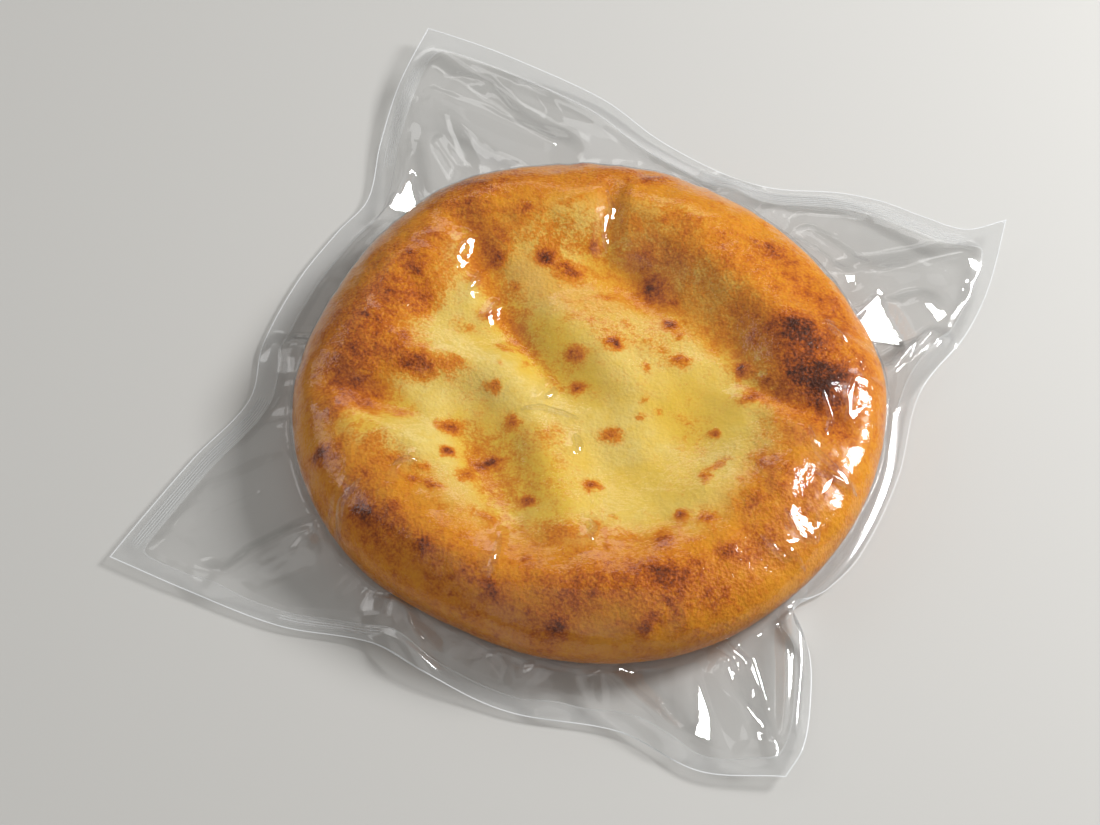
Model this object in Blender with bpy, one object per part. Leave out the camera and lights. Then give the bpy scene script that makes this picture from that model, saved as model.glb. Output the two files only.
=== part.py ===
"""A khachapuri, a round flat Georgian cheese bread, sealed in a clear vacuum pouch.

It lies flat with its browned side up. Metres, +Z up. The origin is at table height under the
middle of the bread. There are two objects: the bread in one piece, and the pouch's film, which
runs flat under the bread, a little way up its side, and out to the pouch's four corners. The
layer of film that clings to the crust is a tenth of a millimetre thick and has no solid.
"""
import math
from typing import NamedTuple

import bmesh
import bpy
from mathutils import Vector, noise

MM = 0.001

# The bread, 240 mm across and 35 mm high
BREAD_RADIUS = 120.0 * MM
GIRTH_HEIGHT = 14.0 * MM
RIM_HEIGHT = 33.0 * MM
RIM_CROWN_RADIUS = 92.0 * MM
MIDDLE_HEIGHT = 26.0 * MM
MIDDLE_RADIUS = 42.0 * MM
BASE_RADIUS = 106.0 * MM
BASE_HEIGHT = 0.9 * MM
CRUST_WAVE_LENGTH = 22.0 * MM
CRUST_WAVE_RISE = 0.8 * MM
CRUST_BEND_LENGTH = 30.0 * MM  # how the humps and hollows wander
CRUST_BEND = 3.0 * MM

# The pouch, cut from film as a bag about 300 by 320 mm. Its underside follows the bread's at a
# distance of BASE_HEIGHT, which leaves a gap of 0.4 mm over the film.
FILM_THICKNESS = 0.5 * MM
WALL_TOP_HEIGHT = 7.0 * MM
EDGE_HEIGHT = 2.0 * MM
LOWEST_FLANGE = 0.8 * MM

# How finely the two meshes are divided
TOP_STEPS = 38
LOWER_RINGS = 5
SIDE_STEPS = 34
WALL_RINGS = 4
FLANGE_RINGS = 8


class Swelling(NamedTuple):
    """A place where the bread's outline stands out or, below zero, is drawn in."""

    azimuth: float  # degrees from +X
    half_angle: float  # degrees
    outward: float  # mm


class Relief(NamedTuple):
    """An oval hump of the crust or, with a rise below zero, a hollow."""

    x: float  # mm
    y: float
    half_length: float
    half_width: float
    turn: float  # degrees from +X to the length
    rise: float  # mm


class Fold(NamedTuple):
    """A tent-like fold of the film, from its root to its tip."""

    x0: float  # mm
    y0: float
    x1: float
    y1: float
    half_width: float
    rise: float


class Lift(NamedTuple):
    """A place where the film stands off the table."""

    x: float  # mm
    y: float
    half_width: float
    rise: float


SWELLINGS = (
    Swelling(116.0, 12.0, 3.5),
    Swelling(-72.0, 20.0, 2.5),
    Swelling(-118.0, 14.0, -2.5),
    Swelling(158.0, 16.0, -3.0),
    Swelling(42.0, 24.0, -3.0),
    Swelling(3.0, 12.0, 1.5),
)

RELIEFS = (
    # Humps of the rim, clockwise from the upper left
    Relief(-86.0, 38.0, 36.0, 16.0, 62.0, 2.5),
    Relief(-45.0, 94.0, 24.0, 13.0, 25.0, 2.0),
    Relief(-12.0, 86.0, 20.0, 16.0, 0.0, 2.0),
    Relief(36.0, 82.0, 26.0, 14.0, -30.0, 2.0),
    Relief(57.0, 50.0, 34.0, 11.0, -48.0, 3.8),
    Relief(79.0, 14.0, 18.0, 10.0, -65.0, 2.5),
    Relief(80.0, -44.0, 16.0, 10.0, 60.0, 1.0),
    Relief(8.0, -104.0, 40.0, 14.0, 0.0, 2.8),
    Relief(-60.0, -84.0, 30.0, 12.0, -38.0, 2.8),
    Relief(-101.0, -42.0, 20.0, 10.0, -72.0, 1.5),
    # Where the rim falls away outward
    Relief(94.0, 42.0, 38.0, 12.0, -58.0, -2.5),
    Relief(96.0, -34.0, 36.0, 12.0, 70.0, -2.5),
    Relief(62.0, -82.0, 24.0, 12.0, 38.0, -1.8),
    # Creases that run in across the rim
    Relief(10.0, 84.0, 17.0, 5.5, 84.0, -2.8),
    Relief(82.0, -16.0, 20.0, 5.5, -30.0, -3.2),
    Relief(-94.0, -6.0, 20.0, 7.0, -10.0, -2.5),
    # Ridges of the middle, which run down to the right
    Relief(-62.0, 8.0, 26.0, 10.0, -14.0, 3.6),
    Relief(-32.0, -6.0, 16.0, 10.0, -40.0, 1.8),
    Relief(-15.0, -44.0, 36.0, 11.0, -68.0, 3.5),
    Relief(-3.0, 22.0, 30.0, 10.0, -58.0, 3.4),
    Relief(24.0, 8.0, 26.0, 18.0, -40.0, 1.5),
    Relief(-68.0, -34.0, 16.0, 9.0, -20.0, 1.2),
    # Hollows beside them
    Relief(-42.0, 58.0, 24.0, 8.0, -70.0, -3.2),
    Relief(-55.0, 74.0, 14.0, 8.0, -25.0, -1.8),
    Relief(-68.0, 40.0, 14.0, 7.0, -65.0, -1.5),
    Relief(-23.0, 14.0, 30.0, 6.5, -56.0, -2.2),
    Relief(16.0, 50.0, 26.0, 11.0, -42.0, -4.2),
    Relief(57.0, 14.0, 20.0, 10.0, -60.0, -2.2),
    Relief(-82.0, -16.0, 18.0, 8.0, -22.0, -3.0),
    Relief(-40.0, -49.0, 32.0, 10.0, -66.0, -2.8),
    Relief(46.0, -28.0, 24.0, 18.0, -30.0, -1.4),
    Relief(30.0, -70.0, 20.0, 10.0, 5.0, -1.8),
)

# The pouch's corners, clockwise from the far one, and what each side between them stands out from
# the straight line: pairs of a fraction along the side and an outward offset in mm
CORNERS = {
    "far": (-72.0, 213.0),
    "right": (183.0, 97.0),
    "near": (71.0, -165.0),
    "left": (-188.0, -70.0),
}
SIDES = {
    "far": (
        (0.0, 0.0), (0.16, 1.5), (0.32, -2.0), (0.44, -14.0), (0.56, -20.5), (0.64, -19.5),
        (0.74, -10.5), (0.81, -8.5), (0.88, -11.0), (0.95, -11.5), (1.0, 0.0),
    ),
    "right": (
        (0.0, 0.0), (0.13, 3.5), (0.23, 1.5), (0.35, -7.0), (0.50, -2.5), (0.64, -5.0),
        (0.71, -12.0), (0.76, -21.0), (0.81, -9.5), (0.88, -2.0), (0.95, 2.0), (1.0, 0.0),
    ),
    "near": (
        (0.0, 0.0), (0.11, 8.0), (0.23, 2.5), (0.38, 9.0), (0.51, 6.0), (0.60, 0.0),
        (0.73, 5.0), (0.88, 3.0), (1.0, 0.0),
    ),
    "left": (
        (0.0, 0.0), (0.08, -3.5), (0.18, -8.5), (0.29, -16.0), (0.38, -8.5), (0.50, -7.0),
        (0.60, -11.0), (0.67, -15.5), (0.77, -7.5), (0.88, -1.5), (1.0, 0.0),
    ),
}

FOLDS = (
    Fold(-70.0, 186.0, -14.0, 141.0, 16.0, 5.0),
    Fold(-66.0, 164.0, -54.0, 126.0, 12.0, 3.5),
    Fold(-80.0, 112.0, -80.0, 176.0, 11.0, 4.0),
    Fold(-120.0, 28.0, -134.0, 32.0, 11.0, 3.0),
    Fold(-114.0, -66.0, -146.0, -82.0, 13.0, 3.5),
    Fold(-74.0, -96.0, -70.0, -121.0, 15.0, 6.0),
    Fold(-16.0, -123.0, -14.0, -137.0, 12.0, 2.5),
    Fold(6.0, -124.0, 28.0, -151.0, 13.0, 4.5),
    Fold(47.0, -115.0, 60.0, -152.0, 11.0, 7.0),
    Fold(80.0, -94.0, 77.0, -148.0, 10.0, 6.0),
    Fold(124.0, 12.0, 146.0, 30.0, 13.0, 6.0),
    Fold(116.0, 40.0, 142.0, 52.0, 14.0, 4.5),
    Fold(112.0, 66.0, 160.0, 76.0, 14.0, 4.0),
    Fold(62.0, 112.0, 71.0, 127.0, 14.0, 3.5),
)

LIFTS = (
    Lift(-74.0, 213.0, 62.0, 7.0),
    Lift(183.0, 97.0, 52.0, 7.0),
    Lift(71.0, -165.0, 34.0, 3.0),
    Lift(-66.0, -122.0, 20.0, 4.0),
    Lift(-188.0, -70.0, 40.0, 1.0),
    Lift(138.0, 30.0, 26.0, 3.0),
)


def smooth_step(value):
    """An even rise from 0 to 1 as value goes from 0 to 1."""
    value = min(max(value, 0.0), 1.0)
    return value * value * (3.0 - 2.0 * value)


def smooth_through(points, at):
    """The height at a place along a smooth curve through (place, height) points."""
    last = len(points) - 1
    index = 0
    while index < last - 1 and at > points[index + 1][0]:
        index += 1

    def slope(i):
        before = points[max(i - 1, 0)]
        after = points[min(i + 1, last)]
        return (after[1] - before[1]) / (after[0] - before[0])

    (x0, y0), (x1, y1) = points[index], points[index + 1]
    span = x1 - x0
    t = (at - x0) / span
    start_weight = (1.0 + 2.0 * t) * (1.0 - t) ** 2
    end_weight = t * t * (3.0 - 2.0 * t)
    bend = slope(index) * t * (1.0 - t) ** 2 - slope(index + 1) * t * t * (1.0 - t)
    return y0 * start_weight + y1 * end_weight + bend * span


def outline_growth(azimuth):
    """How far the bread's girth stands out from a circle at an azimuth, in metres."""
    growth = 0.0
    for swelling in SWELLINGS:
        turned = math.degrees(azimuth) - swelling.azimuth
        turned = (turned + 180.0) % 360.0 - 180.0
        growth += swelling.outward * math.exp(-((turned / swelling.half_angle) ** 2))
    return growth * MM


def relief_height(x, y):
    """How far the crust stands above or below the plain bread at a place, in metres."""
    place = Vector((x, y, 0.0))
    height = CRUST_WAVE_RISE * noise.noise(place / CRUST_WAVE_LENGTH)
    bent_x = x + CRUST_BEND * noise.noise(place / CRUST_BEND_LENGTH + Vector((7.0, 7.0, 7.0)))
    bent_y = y + CRUST_BEND * noise.noise(place / CRUST_BEND_LENGTH + Vector((17.0, 17.0, 17.0)))
    for relief in RELIEFS:
        dx = bent_x / MM - relief.x
        dy = bent_y / MM - relief.y
        turn = math.radians(relief.turn)
        along = (dx * math.cos(turn) + dy * math.sin(turn)) / relief.half_length
        across = (dy * math.cos(turn) - dx * math.sin(turn)) / relief.half_width
        height += relief.rise * MM * math.exp(-along * along - across * across)
    return height


def lower_side(turn, clearance):
    """Radius and height at a distance from the bread's lower side: turn is 0 at the girth, 1 below."""
    angle = turn * math.pi / 2.0
    width = BREAD_RADIUS - BASE_RADIUS
    drop = GIRTH_HEIGHT - BASE_HEIGHT
    outward = Vector((drop * math.cos(angle), -width * math.sin(angle))).normalized() * clearance
    radius = BASE_RADIUS + width * math.cos(angle) + outward.x
    height = GIRTH_HEIGHT - drop * math.sin(angle) + outward.y
    return radius, height


def bread_point(azimuth, reach):
    """A point of the bread: reach is 0 at the top's middle, 1 at the girth and 2 at the base."""
    shoulder_width = BREAD_RADIUS - RIM_CROWN_RADIUS
    shoulder_drop = RIM_HEIGHT - GIRTH_HEIGHT
    shoulder_arc = math.pi / 4.0 * (shoulder_width + shoulder_drop)
    path = min(reach, 1.0) * (RIM_CROWN_RADIUS + shoulder_arc)
    relief_share = 1.0
    if reach > 1.0:
        radius, height = lower_side(reach - 1.0, 0.0)
        relief_share = 0.0
    elif path > RIM_CROWN_RADIUS:
        angle = (path - RIM_CROWN_RADIUS) / shoulder_arc * math.pi / 2.0
        radius = RIM_CROWN_RADIUS + shoulder_width * math.sin(angle)
        height = GIRTH_HEIGHT + shoulder_drop * math.cos(angle)
        relief_share = math.cos(angle)
    else:
        radius = path
        climb = (radius - MIDDLE_RADIUS) / (RIM_CROWN_RADIUS - MIDDLE_RADIUS)
        height = MIDDLE_HEIGHT + (RIM_HEIGHT - MIDDLE_HEIGHT) * smooth_step(climb)
    radius += outline_growth(azimuth) * (radius / BREAD_RADIUS) ** 2
    x = radius * math.cos(azimuth)
    y = radius * math.sin(azimuth)
    return Vector((x, y, height + relief_share * relief_height(x, y)))


def disc_place(x, y):
    """Azimuth and reach on a disc for a place on the square from -1 to 1."""
    if x == 0.0 and y == 0.0:
        return 0.0, 0.0
    if abs(x) >= abs(y):
        reach = x
        azimuth = math.pi / 4.0 * (y / x)
    else:
        reach = y
        azimuth = math.pi / 2.0 - math.pi / 4.0 * (x / y)
    if reach < 0.0:
        azimuth += math.pi
    return azimuth, abs(reach)


def make_bread():
    """The bread: a grid drawn round over the top, its edge pulled down and under to the base."""
    bm = bmesh.new()
    bmesh.ops.create_grid(bm, x_segments=TOP_STEPS, y_segments=TOP_STEPS, size=1.0)
    for vert in bm.verts:
        azimuth, reach = disc_place(vert.co.x, vert.co.y)
        vert.co = bread_point(azimuth, reach)
    rim = [edge for edge in bm.edges if edge.is_boundary]
    for ring in range(1, LOWER_RINGS + 1):
        grown = bmesh.ops.extrude_edge_only(bm, edges=rim)["geom"]
        rim = [item for item in grown if isinstance(item, bmesh.types.BMEdge)]
        for vert in (item for item in grown if isinstance(item, bmesh.types.BMVert)):
            azimuth = math.atan2(vert.co.y, vert.co.x)
            vert.co = bread_point(azimuth, 1.0 + ring / LOWER_RINGS)
    quads = list(bm.faces)
    bmesh.ops.triangulate(bm, faces=quads, quad_method="SHORT_EDGE")
    bmesh.ops.holes_fill(bm, edges=rim)
    bmesh.ops.recalc_face_normals(bm, faces=bm.faces)
    return mesh_from(bm, "khachapuri")


def pouch_outline():
    """Points round the pouch's cut edge, at table height, clockwise seen from above."""
    names = list(CORNERS)
    points = []
    for index, name in enumerate(names):
        start = Vector(CORNERS[name])
        end = Vector(CORNERS[names[(index + 1) % len(names)]])
        along = end - start
        outward = Vector((-along.y, along.x)).normalized()
        for step in range(SIDE_STEPS):
            fraction = step / SIDE_STEPS
            place = start + along * fraction + outward * smooth_through(SIDES[name], fraction)
            points.append(place * MM)
    return points


def fold_height(x, y):
    """How far the film stands up in its folds at a place, in metres."""
    here = Vector((x, y)) / MM
    height = 0.0
    for fold in FOLDS:
        root = Vector((fold.x0, fold.y0))
        run = Vector((fold.x1, fold.y1)) - root
        share = min(max((here - root).dot(run) / run.length_squared, 0.0), 1.0)
        distance = (here - root - run * share).length
        height += fold.rise * smooth_step(1.0 - distance / fold.half_width)
    return height * MM


def flange_height(x, y, inward):
    """Height of the film's underside outside the bread; inward is 1 at the bread, 0 at the edge."""
    height = EDGE_HEIGHT + (WALL_TOP_HEIGHT - EDGE_HEIGHT) * inward * inward
    loose = 4.0 * (1.0 - inward) * inward
    height += fold_height(x, y) * min(loose * 1.6, 1.0)
    for lift in LIFTS:
        away = math.hypot(x / MM - lift.x, y / MM - lift.y) / lift.half_width
        height += lift.rise * MM * math.exp(-away * away) * (1.0 - inward)
    return max(height, LOWEST_FLANGE)


def make_pouch():
    """The film: a flat floor, a low wall round the bread's side and a flange out to the edge."""
    wall_turn = math.asin((GIRTH_HEIGHT - WALL_TOP_HEIGHT) / (GIRTH_HEIGHT - BASE_HEIGHT))
    wall_start = wall_turn / (math.pi / 2.0)
    edge_points = pouch_outline()
    azimuths = [math.atan2(point.y, point.x) for point in edge_points]
    rings = []
    for ring in range(WALL_RINGS + 1):
        up = ring / WALL_RINGS
        radius, height = lower_side(1.0 - up * (1.0 - wall_start), BASE_HEIGHT)
        rings.append([])
        for azimuth in azimuths:
            grown = radius + outline_growth(azimuth) * (radius / BREAD_RADIUS) ** 2
            place = Vector((math.cos(azimuth), math.sin(azimuth))) * grown
            rings[-1].append(place.to_3d() + Vector((0.0, 0.0, height)))
    wall_top = rings[-1]
    for ring in range(1, FLANGE_RINGS + 1):
        outward = ring / FLANGE_RINGS
        rings.append([])
        for root, edge in zip(wall_top, edge_points):
            place = root.to_2d().lerp(edge, outward)
            height = flange_height(place.x, place.y, 1.0 - outward)
            rings[-1].append(place.to_3d() + Vector((0.0, 0.0, height)))
    bm = bmesh.new()
    loops = [[bm.verts.new(place) for place in ring] for ring in rings]
    bm.faces.new(loops[0])
    for inner, outer in zip(loops, loops[1:]):
        for index in range(len(inner)):
            following = (index + 1) % len(inner)
            bm.faces.new((inner[index], inner[following], outer[following], outer[index]))
    bmesh.ops.recalc_face_normals(bm, faces=bm.faces)
    if max(bm.faces, key=lambda face: face.calc_area()).normal.z > 0.0:
        bmesh.ops.reverse_faces(bm, faces=bm.faces)
    pouch = mesh_from(bm, "vacuum_pouch")
    thicken = pouch.modifiers.new("film thickness", "SOLIDIFY")
    thicken.thickness = FILM_THICKNESS
    thicken.offset = -1.0
    return pouch


def mesh_from(bm, name):
    """A smooth-shaded object of that name from a finished bmesh."""
    mesh = bpy.data.meshes.new(name)
    bm.to_mesh(mesh)
    bm.free()
    mesh.shade_smooth()
    item = bpy.data.objects.new(name, mesh)
    bpy.context.collection.objects.link(item)
    return item


def plain_material(name, colour, roughness, alpha=1.0):
    """A Principled material of one linear colour."""
    material = bpy.data.materials.new(name)
    material.use_nodes = True
    shader = material.node_tree.nodes["Principled BSDF"]
    shader.inputs["Base Color"].default_value = (*colour, 1.0)
    shader.inputs["Roughness"].default_value = roughness
    shader.inputs["Metallic"].default_value = 0.0
    shader.inputs["Alpha"].default_value = alpha
    return material


def main():
    """Build the two pieces in an empty scene."""
    for item in list(bpy.data.objects):
        bpy.data.objects.remove(item, do_unlink=True)
    bread = make_bread()
    bread.data.materials.append(plain_material("baked crust", (0.62, 0.30, 0.06), 0.45))
    pouch = make_pouch()
    pouch.data.materials.append(plain_material("clear film", (0.80, 0.82, 0.83), 0.08, alpha=0.25))


main()
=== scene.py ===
"""The looks of a khachapuri, a round flat Georgian cheese bread, in its clear vacuum pouch.

The bread is one mesh with the crust's blisters in it. The pouch is two sheets of film: the front
one clings to the crust and runs out over the flange, and the back one lies under it. Metres, +Z
up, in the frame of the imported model.
"""
import logging
import math
from dataclasses import dataclass
from enum import Enum
from typing import Any, Mapping, NamedTuple, Sequence

import bpy
import numpy as np
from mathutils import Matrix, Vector, noise


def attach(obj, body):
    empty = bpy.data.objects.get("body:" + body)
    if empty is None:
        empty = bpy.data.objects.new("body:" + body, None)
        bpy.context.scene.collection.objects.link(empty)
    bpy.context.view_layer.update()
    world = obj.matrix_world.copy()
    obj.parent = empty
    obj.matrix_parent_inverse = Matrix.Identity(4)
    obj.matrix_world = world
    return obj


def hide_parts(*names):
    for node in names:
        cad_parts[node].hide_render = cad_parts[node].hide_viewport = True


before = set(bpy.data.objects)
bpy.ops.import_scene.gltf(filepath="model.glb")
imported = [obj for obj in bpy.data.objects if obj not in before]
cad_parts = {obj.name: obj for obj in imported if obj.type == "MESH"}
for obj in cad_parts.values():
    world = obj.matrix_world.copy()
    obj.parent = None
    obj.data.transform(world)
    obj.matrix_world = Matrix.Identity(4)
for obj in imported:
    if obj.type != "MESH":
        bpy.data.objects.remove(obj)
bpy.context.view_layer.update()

LOG = logging.getLogger("khachapuri")
MM = 0.001


class Slot(Enum):
    """The finishes that the record names."""

    CRUST = "baked_crust"
    FILM = "clear_film"


class Swelling(NamedTuple):
    """A place where the bread's outline stands out or, below zero, is drawn in."""

    azimuth: float  # degrees from +X
    half_angle: float  # degrees
    outward: float  # mm


class Oval(NamedTuple):
    """An oval place on the crust, with how much of something it has."""

    x: float  # mm
    y: float
    half_length: float
    half_width: float
    turn: float  # degrees from +X to the length
    amount: float  # mm for a relief, a share for a colour


class Fold(NamedTuple):
    """A tent-like fold of the film, from its root to its tip."""

    x0: float  # mm
    y0: float
    x1: float
    y1: float
    half_width: float
    rise: float


class Lift(NamedTuple):
    """A place where the film stands off the table."""

    x: float  # mm
    y: float
    half_width: float
    rise: float


class Taut(NamedTuple):
    """A three-cornered stretch of the flange that is pulled flat, so that it mirrors the light."""

    corners: tuple[tuple[float, float], ...]  # mm, counter-clockwise
    level: float  # mm, at their middle
    fall: float  # how steeply it falls
    azimuth: float  # the way that it falls, in degrees from +X


class RibField(NamedTuple):
    """A stretch of the seal band that the sealing bar has embossed with fine ribs."""

    side: str
    start: float  # share of the side, clockwise from its first corner
    end: float


def records(kind: type, *rows: Sequence[Any]) -> tuple[Any, ...]:
    """Make a record of one kind from each row."""
    return tuple(kind(*row) for row in rows)


SWELLINGS = records(
    Swelling,
    (116, 12, 3.5), (-72, 20, 2.5), (-118, 14, -2.5), (158, 16, -3), (42, 24, -3), (3, 12, 1.5),
)

RELIEFS = records(
    Oval,
    # Humps of the rim, clockwise from the upper left
    (-86, 38, 36, 16, 62, 2.5), (-45, 94, 24, 13, 25, 2), (-12, 86, 20, 16, 0, 2),
    (36, 82, 26, 14, -30, 2), (57, 50, 34, 11, -48, 3.8), (79, 14, 18, 10, -65, 2.5),
    (80, -44, 16, 10, 60, 1), (8, -104, 40, 14, 0, 2.8), (-60, -84, 30, 12, -38, 2.8),
    (-101, -42, 20, 10, -72, 1.5),
    # Where the rim falls away outward
    (94, 42, 38, 12, -58, -2.5), (96, -34, 36, 12, 70, -2.5), (62, -82, 24, 12, 38, -1.8),
    # Creases that run in across the rim
    (10, 84, 17, 5.5, 84, -2.8), (82, -16, 20, 5.5, -30, -3.2), (-94, -6, 20, 7, -10, -2.5),
    # Ridges of the middle, which run down to the right
    (-62, 8, 26, 10, -14, 3.6), (-32, -6, 16, 10, -40, 1.8), (-15, -44, 36, 11, -68, 3.5),
    (-3, 22, 30, 10, -58, 3.4), (24, 8, 26, 18, -40, 1.5), (-68, -34, 16, 9, -20, 1.2),
    # Hollows beside them
    (-42, 58, 24, 8, -70, -3.2), (-55, 74, 14, 8, -25, -1.8), (-68, 40, 14, 7, -65, -1.5),
    (-23, 14, 30, 6.5, -56, -2.2), (16, 50, 26, 11, -42, -4.2), (57, 14, 20, 10, -60, -2.2),
    (-82, -16, 18, 8, -22, -3), (-40, -49, 32, 10, -66, -2.8), (46, -28, 24, 18, -30, -1.4),
    (30, -70, 20, 10, 5, -1.8),
)

# Broad stretches that the oven turned browner or, below zero, less brown than the rest, and painted
# warm shade in some rows
BROWNED_AND_WARM_SHADE = records(
    Oval,
    (-78, 41.5, 36, 17, 62, 0.3), (-94, 6, 22, 15, -75, 0.24), (-92, -54, 34, 12, -60, 0.14),
    (-56, -92.5, 28, 13, -35, 0.12), (12, -101, 44, 12, 4, 0.28), (93, -0.5, 26, 19, 75, 0.4),
    (82, -54.5, 26, 15, -65, 0.2), (52, -91.5, 30, 12, 25, 0.2), (86, 46, 20, 13, -50, 0.18),
    (-5, 103, 74, 9, 0, 0.2), (-52, 86.5, 24, 12, 30, 0.16), (-66, 6, 18, 9, -15, 0.25),
    (34, 60, 26, 9, -15, 0.14), (20, 23, 26, 14, -35, 0.24), (-22, 16.5, 28, 8, -56, 0.16),
    (-38, 58.5, 24, 9, -70, 0.22), (40, 42.5, 36, 12, -45, 0.2), (-36, -44.5, 30, 8, -66, 0.14),
    (-86, -25, 16, 6, 8, -0.22), (-24, -3, 24, 12, -25, -0.1), (34, 84.5, 16, 8, -20, -0.14),
    (-48, 69, 12, 10, -50, -0.16), (80, -91.5, 26, 7, 42, -0.16), (-76, -34, 16, 8, 0, -0.15),
    # Rows from (-16, 13) to (53, 34): painted warm shade, more brown where the crust faces away from
    # the key light.
    (-79, -74, 22, 8, -38, 0.2), (-11.7, 71, 12, 9, 0, 0.25), (-16, 13, 32, 12, -48, 0.11),
    (-28, -45, 34, 14, -57, 0.12), (22, -56, 26, 13, 5, 0.07), (66, 22, 32, 14, 78, 0.12),
    (53, 34, 30, 11, -52, 0.15), (-38, 68, 9, 8, 0, 0.28),
)

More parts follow.
